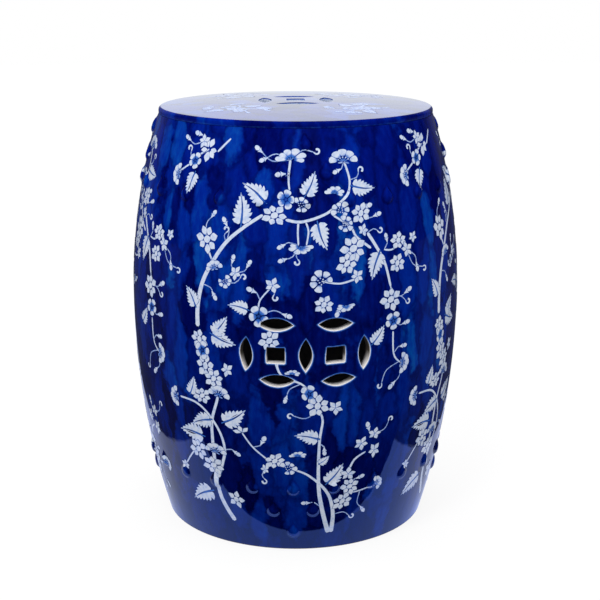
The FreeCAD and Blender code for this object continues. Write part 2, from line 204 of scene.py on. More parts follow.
def brush_cobalt(tree):
    """Fills the group with the nodes of the brushed blue."""
    given = node(tree, "NodeGroupInput", (-1500, 0)).outputs
    place = node(tree, "ShaderNodeTexCoord", (-1500, 300)).outputs["Object"]
    stretch = {"Vector": place, "Scale": DAB_STRETCH}
    upright = node(tree, "ShaderNodeMapping", (-1300, 300), stretch).outputs[0]
    wander = noise(tree, (-1100, 500), place, 55.0, 3.0, 0.6)
    centred = vectored(tree, (-900, 500), "SUBTRACT", {0: wander["Color"], 1: (0.5, 0.5, 0.5)})
    swing = vectored(tree, (-700, 500), "SCALE", {0: centred, "Scale": 0.016})
    bent = vectored(tree, (-500, 400), "ADD", {0: upright, 1: swing})
    cells = {"Vector": bent, "Scale": given["Dab Scale"], "Randomness": 0.9}
    soft_cells = {**cells, "Smoothness": 0.25}
    dabs = node(tree, "ShaderNodeTexVoronoi", (-300, 500), soft_cells, feature="SMOOTH_F1").outputs["Color"]
    seams = node(tree, "ShaderNodeTexVoronoi", (-300, 200), cells, feature="DISTANCE_TO_EDGE").outputs[0]
    depth = node(tree, "ShaderNodeSeparateColor", (-100, 500), {0: dabs}).outputs[0]
    cloud = noise(tree, (-300, -100), upright, 9.0, 4.0, 0.55, 0.6)["Fac"]
    grain = noise(tree, (-300, -350), upright, 210.0, 5.0, 0.65)["Fac"]
    level = node(tree, "ShaderNodeSeparateXYZ", (-300, -600), {0: place}).outputs["Z"]
    # Paler towards the top and deeper towards the foot: thinner glaze above, and painted shade on the lower
    # wall, which faces away from the light.
    total = ranged(tree, (-100, -600), level, 0.0, 0.45, -0.15, 0.13)
    for source, weight, up in ((depth, 0.54, 500), (cloud, 0.62, -100), (grain, 0.5, -350)):
        part = reckon(tree, (100, up), "MULTIPLY_ADD", source, weight, -weight / 2)
        total = reckon(tree, (250, up), "ADD", part, total)
    middling = reckon(tree, (400, 300), "ADD", total, 0.42)
    paler = reckon(tree, (500, 300), "ADD", middling, given["Pale"])
    blues = node(tree, "ShaderNodeValToRGB", (600, 300), {0: paler})
    shades = blues.color_ramp.elements
    shades[0].position, shades[0].color = BLUES[0]
    shades[1].position, shades[1].color = BLUES[-1]
    for where, shade in BLUES[1:-1]:
        shades.new(where).color = shade
    edge = ranged(tree, (-100, 200), seams, 0.0, 0.17, 1.0, 0.0)
    strength = reckon(tree, (100, 200), "MULTIPLY", edge, given["Seam"])
    broken = reckon(tree, (250, 150), "MULTIPLY", strength, wander["Fac"])
    darker = mixed(tree, (750, 200), broken, blues.outputs[0], SEAM_BLUE, "MULTIPLY")
    low = ranged(tree, (100, -750), level, 0.09, 0.4, 1.0, 0.0)
    greener = mixed(tree, (850, 0), low, darker, LOW_BLUE, "MULTIPLY")
    height = reckon(tree, (600, -100), "MULTIPLY_ADD", depth, 0.35, cloud)
    node(tree, "NodeGroupOutput", (900, 0), {"Color": greener, "Height": height, "Cloud": grain})


brush_cobalt(brushed)

# The glaze over it. Where the white was left in reserve or the clay is bare, the mesh says so:
# "reserve" runs from 0 in the cobalt to 1 in the white and 1.5 in thin cream glaze, "clay" from 0 in
# glaze to 1 in bare clay, which is coloured dark as painted shade, and
# "crown" is above 0 where the glaze thins and below 0 where it pools; on
# the studs it also carries a painted highlight over their crowns and painted shade round their feet.
SOAKED_BLUE = (0.035, 0.14, 0.54, 1)
WASHED_WHITES = (0.43, 0.54, 0.8, 1), (0.645, 0.705, 0.835, 1)
CREAM = (0.93, 0.88, 0.85, 1)
CLAYS_IN_PAINTED_SHADE = (0.045, 0.035, 0.027, 1), (0.12, 0.098, 0.078, 1)
GLAZE_IOR = 1.52
BARE_ROUGHNESS = 0.82
glaze = bpy.data.materials.new("cobalt glaze")
glaze.use_nodes = True


def dip_in_glaze(material, dab_scale, seam):
    """Gives a material cobalt, reserve, dark clay as painted shade, and glaze, with dabs and seams of its
    own.
    """
    tree = material.node_tree
    tree.nodes.clear()
    place = node(tree, "ShaderNodeTexCoord", (-1100, -200)).outputs["Object"]
    reserve, bare, crown = (
        node(tree, "ShaderNodeAttribute", (-1100, up), attribute_name=name).outputs["Fac"]
        for name, up in (("reserve", 100), ("clay", -50), ("crown", 300))
    )
    cobalt = {"Dab Scale": dab_scale, "Seam": seam, "Pale": crown}
    cobalt = node(tree, "ShaderNodeGroup", (-600, 300), cobalt, node_tree=brushed).outputs
    wash = noise(tree, (-900, -250), place, 260.0, 4.0, 0.6)["Fac"]
    uneven = reckon(tree, (-700, 50), "MULTIPLY_ADD", wash, 0.3, -0.15)
    spread = reckon(tree, (-500, 50), "ADD", reserve, uneven)
    bleed = ranged(tree, (-300, 150), spread, 0.12, 0.5, curve="SMOOTHSTEP")
    soaked = mixed(tree, (-100, 300), bleed, cobalt["Color"], SOAKED_BLUE)
    white = ranged(tree, (-300, -50), spread, 0.6, 0.94, curve="SMOOTHSTEP")
    washed = ranged(tree, (-500, -250), wash, 0.3, 0.55)
    tint = mixed(tree, (-300, -250), washed, *WASHED_WHITES)
    painted = mixed(tree, (100, 200), white, soaked, tint)
    thin = ranged(tree, (-300, -650), reserve, 1.05, 1.5)
    edged = mixed(tree, (200, 350), thin, painted, CREAM)
    # The bare clay is coloured dark as painted shade: inside the barrel, deep in the cuts, under the seat and
    # along the wiped foot. Its roughness is the bare clay's own.
    body = mixed(tree, (-300, -450), wash, *CLAYS_IN_PAINTED_SHADE)
    shown = mixed(tree, (300, 150), bare, edged, body)
    polish = ranged(tree, (100, -50), cobalt["Cloud"], 0.3, 0.7, 0.02, 0.06)
    ways = {0: bare, 2: polish, 3: BARE_ROUGHNESS}
    matt = node(tree, "ShaderNodeMix", (300, -50), ways, data_type="FLOAT").outputs[0]
    ripple = noise(tree, (-100, -450), place, 38.0, 2.0, 0.45)["Fac"]
    relief = reckon(tree, (100, -450), "MULTIPLY_ADD", cobalt["Height"], 0.25, ripple)
    waves = {"Strength": 0.35, "Distance": 0.0008, "Height": relief}
    bump = node(tree, "ShaderNodeBump", (400, -350), waves).outputs[0]
    finish = {"Base Color": shown, "Roughness": matt, "IOR": GLAZE_IOR, "Normal": bump}
    skin = node(tree, "ShaderNodeBsdfPrincipled", (600, 0), finish).outputs[0]
    node(tree, "ShaderNodeOutputMaterial", (900, 0), {0: skin})


dip_in_glaze(glaze, 52.0, 1.4)


def mark(mesh, name, values):
    """Writes one number for each corner point of a mesh."""
    layer = mesh.attributes.get(name) or mesh.attributes.new(name, "FLOAT", "POINT")
    layer.data.foreach_set("value", values)


outer_rows = 104
inner_rows = 26
section = [(wall_radius(0) - FOOT_ROUNDING, 0.0)]
for step in range(1, 4):
    lean = math.radians(30 * step)
    low = wall_radius(FOOT_ROUNDING) - FOOT_ROUNDING
    section.append((low + FOOT_ROUNDING * math.sin(lean), FOOT_ROUNDING * (1 - math.cos(lean))))
for row in range(1, outer_rows + 1):
    up = FOOT_ROUNDING + (WALL_HEIGHT - FOOT_ROUNDING) * row / outer_rows
    section.append((wall_radius(up), up))
for row in range(inner_rows + 1):
    up = WALL_HEIGHT * (1 - row / inner_rows)
    section.append((wall_radius(up, WALL_THICKNESS), up))
wall = turned_shell("wall", section, WALL_TURNS)

# The openings: three upright lenses, two squares and four lying lenses make a pair of linked old
# coins, cut with a fettling knife through the leather-hard wall, on the front and again behind.
COIN_HEIGHT = 0.221
COIN_STEP = 19.3
LENS = (0.034, 0.0125)
SQUARE = (0.0185, 0.0165)
HIGH_LENS_RISE = 0.031
LOW_LENS_DROP = 0.026
CUT_WIDER = 0.0004
KNIFE_PAST = 0.006
GLAZED_DEPTH = 0.0012


def lens_outline(length, width, upright, steps=22):
    """Points round a pointed oval, as pairs across and up."""
    bow = (length**2 + width**2) / (4 * width)
    half = math.asin(length / 2 / bow)
    points = []
    for side in (1, -1):
        for step in range(steps):
            lean = half * (1 - 2 * step / steps)
            across = side * bow * math.sin(lean)
            up = side * (bow * math.cos(lean) - bow + width / 2)
            points.append((-up, across) if upright else (across, up))
    return points


def square_outline(width, height, steps=6):
    """Points round a four-sided opening, with more of them along the sides than at the corners."""
    right, top = width / 2, height / 2
    corners = [(right, top), (-right, top), (-right, -top), (right, -top)]
    points = []
    for here, there in zip(corners, corners[1:] + corners[:1]):
        for share in [0.04] + [step / steps for step in range(1, steps)] + [0.96]:
            points.append((here[0] + (there[0] - here[0]) * share, here[1] + (there[1] - here[1]) * share))
    return points


def grown(outline, by):
    """The outline moved outwards, square to itself."""
    moved = []
    for before, here, after in zip(outline[-1:] + outline[:-1], outline, outline[1:] + outline[:1]):
        run = Vector((after[0] - before[0], after[1] - before[1])).normalized()
        first = Vector((here[0] - before[0], here[1] - before[1])).normalized()
        mitre = min(1.7, 1 / max(0.2, abs(first.dot(run))))
        moved.append((here[0] + run.y * by * mitre, here[1] - run.x * by * mitre))
    return moved


def hand_cut(outline, seed, by=0.0004):
    """A knife held by hand wanders a little off the stencil."""
    drift = random.Random(seed)
    waves = [(drift.uniform(-by, by), drift.uniform(0, math.tau)) for _ in range(3)]
    cut = []
    for i, (x, y) in enumerate(outline):
        swings = [(size, k * math.tau * i / len(outline) + turn) for k, (size, turn) in enumerate(waves, 1)]
        off_x = sum(size * math.cos(swing) for size, swing in swings)
        off_y = sum(size * math.sin(swing) for size, swing in swings)
        cut.append((x + off_x, y + off_y))
    return cut


def tilted(outline, degrees):
    """The outline turned about its middle."""
    cos, sin = math.cos(math.radians(degrees)), math.sin(math.radians(degrees))
    return [(x * cos - y * sin, x * sin + y * cos) for x, y in outline]


cuts = []
for step in (-1, 0, 1):
    cuts.append((step * COIN_STEP, COIN_HEIGHT, hand_cut(lens_outline(*LENS, True), 10 + step)))
for step in (-0.5, 0.5):
    angle = step * COIN_STEP
    hand = int(2 * step)
    slip = 0.9 + 0.6 * step
    square = hand_cut(square_outline(*SQUARE), 20 + hand, 0.0005)
    low_lens = tilted(hand_cut(lens_outline(*LENS, False), 30 + hand), 2 + 5 * step)
    high_lens = hand_cut(lens_outline(*LENS, False), 40 + hand)
    cuts.append((angle, COIN_HEIGHT, square))
    cuts.append((angle + slip, COIN_HEIGHT - LOW_LENS_DROP, low_lens))
    cuts.append((angle, COIN_HEIGHT + HIGH_LENS_RISE, high_lens))


def in_wall_cut(angle, height):
    """Places points on the sides of an opening there, depth metres in from the face and square to it."""
    turn = math.radians(angle)

    def place(across, up, depth):
        reach = math.sqrt(wall_radius(height + up) ** 2 - across**2) - depth
        x = reach * math.sin(turn) + across * math.cos(turn)
        y = -reach * math.cos(turn) + across * math.sin(turn)
        return Vector((x, y, height + up))

    return place


def knife(outline, place, near, far):
    """A closed prism in the outline's shape, from one depth to another."""
    bpy.ops.object.select_all(action="DESELECT")
    bpy.ops.mesh.primitive_circle_add(vertices=len(outline), radius=0.01, fill_type="NGON")
    blade = bpy.context.object
    for corner, point in zip(blade.data.vertices, outline):
        corner.co = place(*point, near)
    bpy.ops.object.mode_set(mode="EDIT")
    bpy.ops.mesh.select_all(action="SELECT")
    bpy.ops.mesh.extrude_region_move(TRANSFORM_OT_translate={"value": (0, 0, 0.01)})
    bpy.ops.object.mode_set(mode="OBJECT")
    moved = [corner for corner in blade.data.vertices if corner.select]
    for corner, point in zip(moved, outline):
        corner.co = place(*point, far)
    bpy.ops.object.mode_set(mode="EDIT")
    bpy.ops.mesh.select_all(action="SELECT")
    bpy.ops.mesh.normals_make_consistent(inside=False)
    bpy.ops.object.mode_set(mode="OBJECT")
    return blade


def join_as(name, parts):
    """Joins pieces into one mesh."""
    take_up(*parts)
    if len(parts) > 1:
        bpy.ops.object.join()
    joined = bpy.context.object
    joined.name = name
    joined.data.name = name
    return joined


def cut_with(piece, blades):
    """Cuts the blades' shapes out of a piece and puts them away."""
    joined = join_as("blades", blades)
    cut = piece.modifiers.new("cut", "BOOLEAN")
    cut.operation = "DIFFERENCE"
    cut.solver = "EXACT"
    cut.object = joined
    take_up(piece)
    bpy.ops.object.modifier_apply(modifier=cut.name)
    bpy.data.objects.remove(joined)


blades = []
for behind in (0, 180):
    for angle, height, outline in cuts:
        place = in_wall_cut(angle + behind, height)
        blades.append(knife(grown(outline, CUT_WIDER), place, -KNIFE_PAST, WALL_THICKNESS + KNIFE_PAST))
cut_with(wall, blades)


def bare_in_painted_shade(point):
    """True for a point of the wall that no glaze reached: inside its face, or on the wiped foot. It gets the
    dark clay of painted shade.
    """
    inside = math.hypot(point.x, point.y) < wall_radius(min(max(point.z, 0.0), WALL_HEIGHT)) - GLAZED_DEPTH
    return inside or point.z < WIPED_EDGE


mark(wall.data, "clay", [float(bare_in_painted_shade(corner.co)) for corner in wall.data.vertices])
smooth_to(wall, wall_normal, 0.9)
coat(wall, glaze)
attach(wall, "root")
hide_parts("barrel_lower", "barrel_upper")

# Round each opening the glaze drew back from the cut: a line of white over the softened edge, with the
# cobalt bleeding pale round it, and cream running down the lower cut face. The rest of the cut is
# bare clay, coloured dark as painted shade. One lining to each opening.
WALL_LINING = (
    # outwards, below the face, white, clay at the sides, clay below; the clay is dark as painted shade
    (0.0042, 0.00004, 0.0, 0.0, 0.0),
    (0.0027, -0.00003, 0.08, 0.0, 0.0),
    (0.0017, -0.00004, 0.22, 0.0, 0.0),
    (0.0010, -0.00004, 0.46, 0.0, 0.0),
    (0.0004, -0.00004, 1.05, 0.0, 0.0),
    (0.0002, 0.00002, 1.35, 0.0, 0.0),
    (0.0, 0.00025, 1.5, 0.1, 0.0),
    (-0.00015, 0.0006, 1.5, 0.7, 0.0),
    (-0.0002, 0.0012, 1.5, 1.0, 0.0),
    (-0.0002, 0.0030, 1.5, 1.0, 0.0),
    (-0.0002, 0.0056, 1.4, 1.0, 0.1),
    (-0.0001, 0.0088, 1.3, 1.0, 0.5),
    (0.0003, 0.0111, 1.2, 1.0, 1.0),
    (0.0012, 0.01125, 1.2, 1.0, 1.0),
)


def lining(outline, table, place, run_off):
    """A skin over the edge and down the sides of one opening, run_off less white along its top."""
    bpy.ops.object.select_all(action="DESELECT")
    around = len(outline)
    bpy.ops.mesh.primitive_grid_add(x_subdivisions=around, y_subdivisions=len(table) - 1, size=1)
    skin = bpy.context.object
    white, clay = [], []
    lowest, highest = min(up for _, up in outline), max(up for _, up in outline)
    for row, (outwards, depth, reserve, beside, below) in enumerate(table):
        ring = grown(outline, outwards)
        for column in range(around + 1):
            up = outline[column % around][1]
            skin.data.vertices[row * (around + 1) + column].co = place(*ring[column % around], depth)
            white.append(reserve * (1 - run_off * min(1.0, max(0.0, 1.3 * up / highest))))
            clay.append(beside + (below - beside) * min(1.0, max(0.0, 1.6 * up / lowest)))
    mark(skin.data, "reserve", white)
    mark(skin.data, "clay", clay)
    bpy.ops.object.mode_set(mode="EDIT")
    bpy.ops.mesh.select_all(action="SELECT")
    bpy.ops.mesh.remove_doubles(threshold=SAME_POINT)
    bpy.ops.object.mode_set(mode="OBJECT")
    return skin


def line_openings(name, openings, table, true_normal, run_off=0.0):
    """Linings for some openings, each turned to look outwards, joined into one piece."""
    skins = []
    for place, outline in openings:
        skin = lining(outline, table, place, run_off)
        face = skin.data.polygons[0]
        if face.normal.dot(true_normal(face.center)) < 0:
            skin.data.flip_normals()
        skins.append(skin)
    return join_as(name, skins)


for behind, side in ((0, "front"), (180, "back")):
    openings = [(in_wall_cut(angle + behind, height), outline) for angle, height, outline in cuts]
    linings = line_openings("coin_edges_" + side, openings, WALL_LINING, wall_normal, 0.5)
    smooth_to(linings, wall_normal, 0.93)
    coat(linings, glaze)
    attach(linings, "root")

# The seat: a slab with a slight rise, luted on with a shallow spigot in the barrel's mouth, its edge
# rounded with a wet sponge. A square and four lenses make one more coin in its middle.
SEAT_EDGE = 0.0065
SEAT_RISE = 0.0055
SEAT_ROUNDING = 0.0034
SEAT_LOWER_EDGE = ((0.0, 0.0012), (0.0003, 0.0003), (0.0008, 0.0))
SPIGOT_DEPTH = 0.0045
SPIGOT_PLAY = 0.0003
SEAT_SQUARE = 0.019
SEAT_LENS = (0.044, 0.014)
SEAT_LENS_REACH = 0.0325
SEAT_KNIFE = (-0.005, 0.017)
SEAT_TURNS = 256
# A pale line is painted along the seat's joint with the wall, as a highlight on the step there.
JOINT_PAINTED_HIGHLIGHT = 0.19
seat_radius = wall_radius(WALL_HEIGHT)
rim_height = WALL_HEIGHT + SEAT_EDGE
seat_ball = (seat_radius**2 + SEAT_RISE**2) / (2 * SEAT_RISE)


def seat_height(across):
    """Height of the seat's upper face at a distance from the middle."""
    return rim_height + SEAT_RISE - seat_ball + math.sqrt(seat_ball**2 - across**2)


def seat_normal(point):
    """The direction straight out of the seat's upper face."""
    return Vector((point.x, point.y, seat_ball)).normalized()


spigot = wall_radius(WALL_HEIGHT, WALL_THICKNESS) - SPIGOT_PLAY
section = []
for row in range(31):
    across = (seat_radius - SEAT_ROUNDING) * (row / 30) ** 0.8
    section.append((across, seat_height(across)))
centre = (seat_radius - SEAT_ROUNDING, seat_height(seat_radius - SEAT_ROUNDING) - SEAT_ROUNDING)
for step in range(1, 9):
    lean = math.radians(90 * step / 8)
    section.append((centre[0] + SEAT_ROUNDING * math.sin(lean), centre[1] + SEAT_ROUNDING * math.cos(lean)))
for inwards, up in SEAT_LOWER_EDGE:
    section.append((seat_radius - inwards, WALL_HEIGHT + up))
section.append((spigot, WALL_HEIGHT))
section.append((spigot, WALL_HEIGHT - SPIGOT_DEPTH))
for row in range(1, 16):
    across = spigot * (1 - row / 15)
    section.append((across, seat_height(across) - SEAT_EDGE - SPIGOT_DEPTH))
seat = turned_shell("seat_slab", section, SEAT_TURNS)


def in_seat_cut(side, reach):
    """Places points on the sides of an opening in the seat, depth metres down from its face."""
    turn = math.radians(side)

    def place(across, up, depth):
        x = across * math.cos(turn) - (reach + up) * math.sin(turn)
        y = across * math.sin(turn) + (reach + up) * math.cos(turn)
        return Vector((x, y, seat_height(math.hypot(x, y)) - depth))

    return place


openings = [(in_seat_cut(0, 0.0), hand_cut(square_outline(SEAT_SQUARE, SEAT_SQUARE), 50))]
for quarter in range(4):
    lens = hand_cut(lens_outline(*SEAT_LENS, False), 60 + quarter)
    openings.append((in_seat_cut(90 * quarter, SEAT_LENS_REACH), lens))
cut_with(seat, [knife(grown(outline, CUT_WIDER), place, *SEAT_KNIFE) for place, outline in openings])


def under_seat(point):
    """True for a point of the seat that no glaze reached: its underside, and deep in the cuts. These take the
    dark clay of painted shade.
    """
    across = math.hypot(point.x, point.y)
    beneath = point.z < WALL_HEIGHT + 0.0001 and across < seat_radius - 0.0009
    return beneath or point.z < seat_height(across) - 0.009


def joint_painted_highlight(point):
    """How much white is painted along the joint with the wall, as a painted highlight on the step there."""
    return JOINT_PAINTED_HIGHLIGHT if WALL_HEIGHT - 0.0001 < point.z < WALL_HEIGHT + 0.0014 else 0.0


mark(seat.data, "clay", [float(under_seat(corner.co)) for corner in seat.data.vertices])
mark(seat.data, "reserve", [joint_painted_highlight(corner.co) for corner in seat.data.vertices])
smooth_to(seat, seat_normal, 0.9995)
seat_glaze = bpy.data.materials.new("seat glaze")
seat_glaze.use_nodes = True
dip_in_glaze(seat_glaze, 40.0, 0.5)
coat(seat, seat_glaze)
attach(seat, "root")
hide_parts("seat")

SEAT_LINING = (
    # as for the wall, but the face keeps its blue up to the edge, and the cut is pale to half its depth, then
    # dark as painted shade
    (0.0034, 0.00004, 0.0, 0.0, 0.0),
    (0.0018, -0.00003, 0.12, 0.0, 0.0),
    (0.0010, -0.00004, 0.36, 0.0, 0.0),
    (0.0005, -0.00003, 0.1, 0.0, 0.0),
    (0.0001, 0.00015, 0.0, 0.0, 0.0),
    (-0.0001, 0.0006, 0.3, 0.0, 0.0),
    (-0.0002, 0.0012, 0.9, 0.0, 0.0),
    (-0.0002, 0.0042, 1.0, 0.0, 0.0),
    (-0.0002, 0.0056, 0.6, 0.9, 0.9),
    (0.0003, 0.0108, 0.0, 1.0, 1.0),
    (0.0012, 0.01095, 0.0, 1.0, 1.0),
)
linings = line_openings("coin_edges_seat", openings, SEAT_LINING, seat_normal)
smooth_to(linings, seat_normal, 0.97)
coat(linings, seat_glaze)
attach(linings, "root")

# The studs: drops of clay pressed in one small mould, 72 alike, stuck on with slip in a full ring,
# four pairs and four tips at each end. The glaze thins over their crowns and pools round them, and
# the colour there is partly painted light: a painted highlight over the crowns and upper tips, and
# painted shade in the crease round their feet and on their undersides.
STUD_HALF = 0.0062
STUD_TIP = 0.0106
STUD_STEP = 15.0
LOWER_TURN = -4.0
stud_ring = [STUD_STEP * i for i in range(24)]
stud_pairs = [90 * i + side * STUD_STEP / 2 for i in range(4) for side in (-1, 1)]
stud_tips = [90 * i for i in range(4)]
STUD_ROWS = {
    # height, how far the row is turned, and the angles round the wall
    "studs_upper_ring": (0.371, 0.0, stud_ring),
    "studs_upper_pairs": (0.397, 0.0, stud_pairs),
    "studs_upper_tips": (0.423, 0.0, stud_tips),
    "studs_lower_ring": (0.074, LOWER_TURN, stud_ring),
    "studs_lower_pairs": (0.048, LOWER_TURN, stud_pairs),
    "studs_lower_tips": (0.022, LOWER_TURN, stud_tips),
}
STUD_RINGS = (
    # share of the outline, height, thinness of the glaze: below 0 pooled glaze with painted shade in the
    # crease, above 0 thin glaze with a painted highlight
    (1.36, -0.00005, 0.0),
    (1.20, 0.00008, -0.08),
    (1.07, 0.00036, -0.13),
    (0.96, 0.00090, -0.08),
    (0.82, 0.00165, 0.0),
    (0.62, 0.00235, 0.03),
    (0.40, 0.00278, 0.05),
    (0.18, 0.00297, 0.06),
)
STUD_CORNERS = 24
SLIP_EDGE = 0.0005
CROWN_FLOOR = 0.001
# The upper tip of each drop is paler and its underside deeper: thinner glaze at the tip, with a painted
# highlight above and painted shade below.
THIN_TIP_AND_PAINTED_HIGHLIGHT = 0.05


def drop_reach(lean):
    """From a drop's middle to its outline, lean radians round from its tip: round, drawn out to a point."""
    touch = math.acos(STUD_HALF / STUD_TIP)
    return STUD_HALF / math.cos(touch - lean) if lean < touch else STUD_HALF


bpy.ops.object.select_all(action="DESELECT")
bpy.ops.mesh.primitive_grid_add(x_subdivisions=STUD_CORNERS, y_subdivisions=len(STUD_RINGS) - 1, size=1)
mould = bpy.context.object
thinness_and_painted_light = []
for row, (share, lift, thin) in enumerate(STUD_RINGS):
    for column in range(STUD_CORNERS + 1):
        lean = math.tau * (column % STUD_CORNERS) / STUD_CORNERS
        reach = drop_reach(abs((lean + math.pi) % math.tau - math.pi))
        x, y = reach * math.sin(lean), reach * math.cos(lean)
        mould.data.vertices[row * (STUD_CORNERS + 1) + column].co = (x * share, y * share, lift)
        thinness_and_painted_light.append(thin + THIN_TIP_AND_PAINTED_HIGHLIGHT * math.cos(math.tau * column / STUD_CORNERS) * (lift > SLIP_EDGE))
mark(mould.data, "crown", thinness_and_painted_light)
bpy.ops.object.mode_set(mode="EDIT")
bpy.ops.mesh.select_all(action="SELECT")
bpy.ops.mesh.remove_doubles(threshold=SAME_POINT)
bpy.ops.mesh.select_all(action="DESELECT")
bpy.ops.mesh.select_non_manifold()
bpy.ops.object.mode_set(mode="OBJECT")
for edge in mould.data.edges:
    if mould.data.vertices[edge.vertices[0]].co.z < CROWN_FLOOR:
        edge.select = False
for corner in mould.data.vertices:
    if corner.co.z < CROWN_FLOOR:
        corner.select = False
bpy.ops.object.mode_set(mode="EDIT")
bpy.ops.mesh.edge_face_add()
bpy.ops.mesh.select_all(action="SELECT")
bpy.ops.mesh.normals_make_consistent(inside=False)
bpy.ops.object.mode_set(mode="OBJECT")
if mould.data.polygons[0].normal.z < 0:
    mould.data.flip_normals()
for stud_row, (height, turn, angles) in STUD_ROWS.items():
    slope = math.cos(math.asin((height - BELLY_HEIGHT) / (UPPER_ARC if height > BELLY_HEIGHT else LOWER_ARC)))
    drops = []
    for angle in angles:
        drop = bpy.data.objects.new("drop", mould.data.copy())
        bpy.context.scene.collection.objects.link(drop)
        for corner in drop.data.vertices:
            up = height + corner.co.y * slope
            foot_point = on_wall(angle + turn + math.degrees(corner.co.x / wall_radius(height)), up)
            corner.co = foot_point + wall_normal(foot_point) * corner.co.z
        drops.append(drop)
    row = join_as("drops_" + stud_row[6:], drops)
    bpy.ops.object.shade_smooth()
    coat(row, glaze)
    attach(row, "root")
    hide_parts(stud_row)
bpy.data.objects.remove(mould)

# The foot: a coil of clay luted inside the base and trimmed flat, left bare so that it doesn't stick
# to the kiln shelf. It shows only from below.
FOOT_BUFFS = ((0.3, (0.48, 0.39, 0.28, 1)), (0.7, (0.70, 0.62, 0.50, 1)))
foot_clay = bpy.data.materials.new("bare foot clay")
foot_clay.use_nodes = True


def leave_bare(material):
    """Gives a material the look of gritty, unglazed buff clay."""
    tree = material.node_tree
    place = node(tree, "ShaderNodeTexCoord", (-900, 0)).outputs["Object"]
    grit = noise(tree, (-700, 0), place, 420.0, 6.0, 0.7)["Fac"]
    stain = noise(tree, (-700, 250), place, 22.0, 3.0)["Fac"]
    tone = node(tree, "ShaderNodeValToRGB", (-450, 250), {0: stain})
    for stop, (where, buff) in zip(tone.color_ramp.elements, FOOT_BUFFS):
        stop.position, stop.color = where, buff
    rough = ranged(tree, (-450, 0), grit, 0.0, 1.0, 0.75, 0.95)
    bump = node(tree, "ShaderNodeBump", (-250, -150), {"Strength": 0.5, "Distance": 0.0004, "Height": grit})
    skin = tree.nodes["Principled BSDF"]
    tree.links.new(tone.outputs[0], skin.inputs["Base Color"])
    tree.links.new(rough, skin.inputs["Roughness"])
    tree.links.new(bump.outputs[0], skin.inputs["Normal"])


leave_bare(foot_clay)
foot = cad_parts["foot_ring"]
coat(foot, foot_clay)

# The blossom branches: white left in reserve, outlined and shaded with a fine brush in cobalt before
# the blue ground was laid round them. One quarter of the wall holds one set of branches, and it is
# painted four times. Places are in degrees round the wall and millimetres up it, shapes in millimetres.
MM = 0.001
LOWEST = 0.05
LAYER = 0.07
SKIRT = 0.55
SKIRT_DIP = 0.03
HEM_DEPTH = 0.05
POOLED = -0.3
BRUSH_STEP = 2.6
CAMERA_TURN = 3.0
BRANCH_REACH = 4
HEART_REACH = 7
THIN_BRANCH = 2.3
BLOSSOM_GROWTH = 1.12
BLOSSOM_REACH = 8.0
BUD_FOOT = 5.4
STEM_WHITE = 0.8
TENDRIL = ((-3.0, -0.4), (-0.2, -2.0), (2.0, -1.2), (2.6, 0.9), (1.2, 2.5), (-1.0, 2.2))
STUD_CROWN = (0.0, 0.003, 0.0)
COARSE_AREA = 0.000004
COARSE_EDGE = 0.0018
PAINT_GAP = 0.0006


def both_sides(half):
    """A whole outline from its right half, listed from the foot up."""
    left = [(-x, y) for x, y in reversed(half) if x > 0.01]
    return half + left


def turned(points, degrees, size=1.0, shift=(0.0, 0.0)):
    """Points turned clockwise, made larger or smaller, and moved."""
    cos, sin = math.cos(math.radians(degrees)), math.sin(math.radians(degrees))
    return [(size * (x * cos + y * sin) + shift[0], size * (y * cos - x * sin) + shift[1]) for x, y in points]


def round_dot(radius, corners=8):
    """Points round a circle, clockwise from the top."""
    leans = [math.tau * i / corners for i in range(corners)]
    return [(radius * math.sin(lean), radius * math.cos(lean)) for lean in leans]


def outset(points, by):
    """Outline moved outwards whatever way round it runs."""
    area = sum(a[0] * b[1] - b[0] * a[1] for a, b in zip(points, points[1:] + points[:1]))
    return grown(points, by if area > 0 else -by)


def petal(start, tip, among, fullness=1.0, gap=0.32, rounded=False):
    """A petal, one of among in a ring, wedged between its neighbours, with a blunt point or a round end."""

    def room(r):
        return math.pi * r / among - gap

    long = tip - start
    widest = fullness * room(start + 0.52 * long)
    half = [(0.0, start)]
    spread = ((0.13, 0.5), (0.3, 0.87), (0.48, 1.0), (0.66, 0.84), (0.84, 0.42))
    if rounded:
        widest = fullness * room(start + 0.74 * long)
        spread = ((0.13, 0.5), (0.36, 0.8), (0.58, 0.96), (0.76, 1.0), (0.89, 0.8), (0.97, 0.42))
    for share, most in spread:
        r = start + share * long
        half.append((max(0.12, min(most * widest, room(r))), r))
    return both_sides(half + [(0.0, tip)])


def oval(x, y, wide, tall, lean=0.0, corners=11):
    """An egg-shaped outline round (x, y)."""
    return turned([(wide / 2 * a, tall / 2 * b) for a, b in round_dot(1.0, corners)], lean, 1.0, (x, y))


def tick(start, end, foot, tip):
    """A short line along +Y, foot wide to each side at its start and tip wide at its end."""
    return [(-foot, start), (foot, start), (tip, end), (-tip, end)]


def leaf_halves(length, spread=0.69, teeth=5, bow=0.05):
    """The two halves of a toothed leaf along +Y, with a gap between them that closes at the tip."""

    def half_width(t):
        return length * spread * 0.5 * math.sin(math.pi * min(1.0, t + 0.04) ** 0.52) ** 0.95

    halves = []
    for side in (1, -1):
        middle = []
        for i in range(9):
            t = 0.02 + 0.98 * i / 8
            middle.append((0.02 + 0.046 * length * max(0.0, 1 - t) ** 0.55, t))
        margin = [(0.5 * half_width(0.0), -0.015), (0.9 * half_width(0.05), 0.045), (half_width(0.13), 0.14)]
        for i in range(teeth):
            start = 0.2 + 0.134 * i
            margin.append((0.6 * half_width(start) + 0.1, start))
            margin.append((0.88 * half_width(start + 0.05), start + 0.052))
            margin.append((1.0 * half_width(start + 0.11) + 0.12, start + 0.142))
        margin.append((0.5 * half_width(0.87), 0.87))
        outline = [(side * x, t) for x, t in middle + margin[::-1]]
        halves.append([(x + bow * length * math.sin(math.pi * t), length * t) for x, t in outline])
    return halves


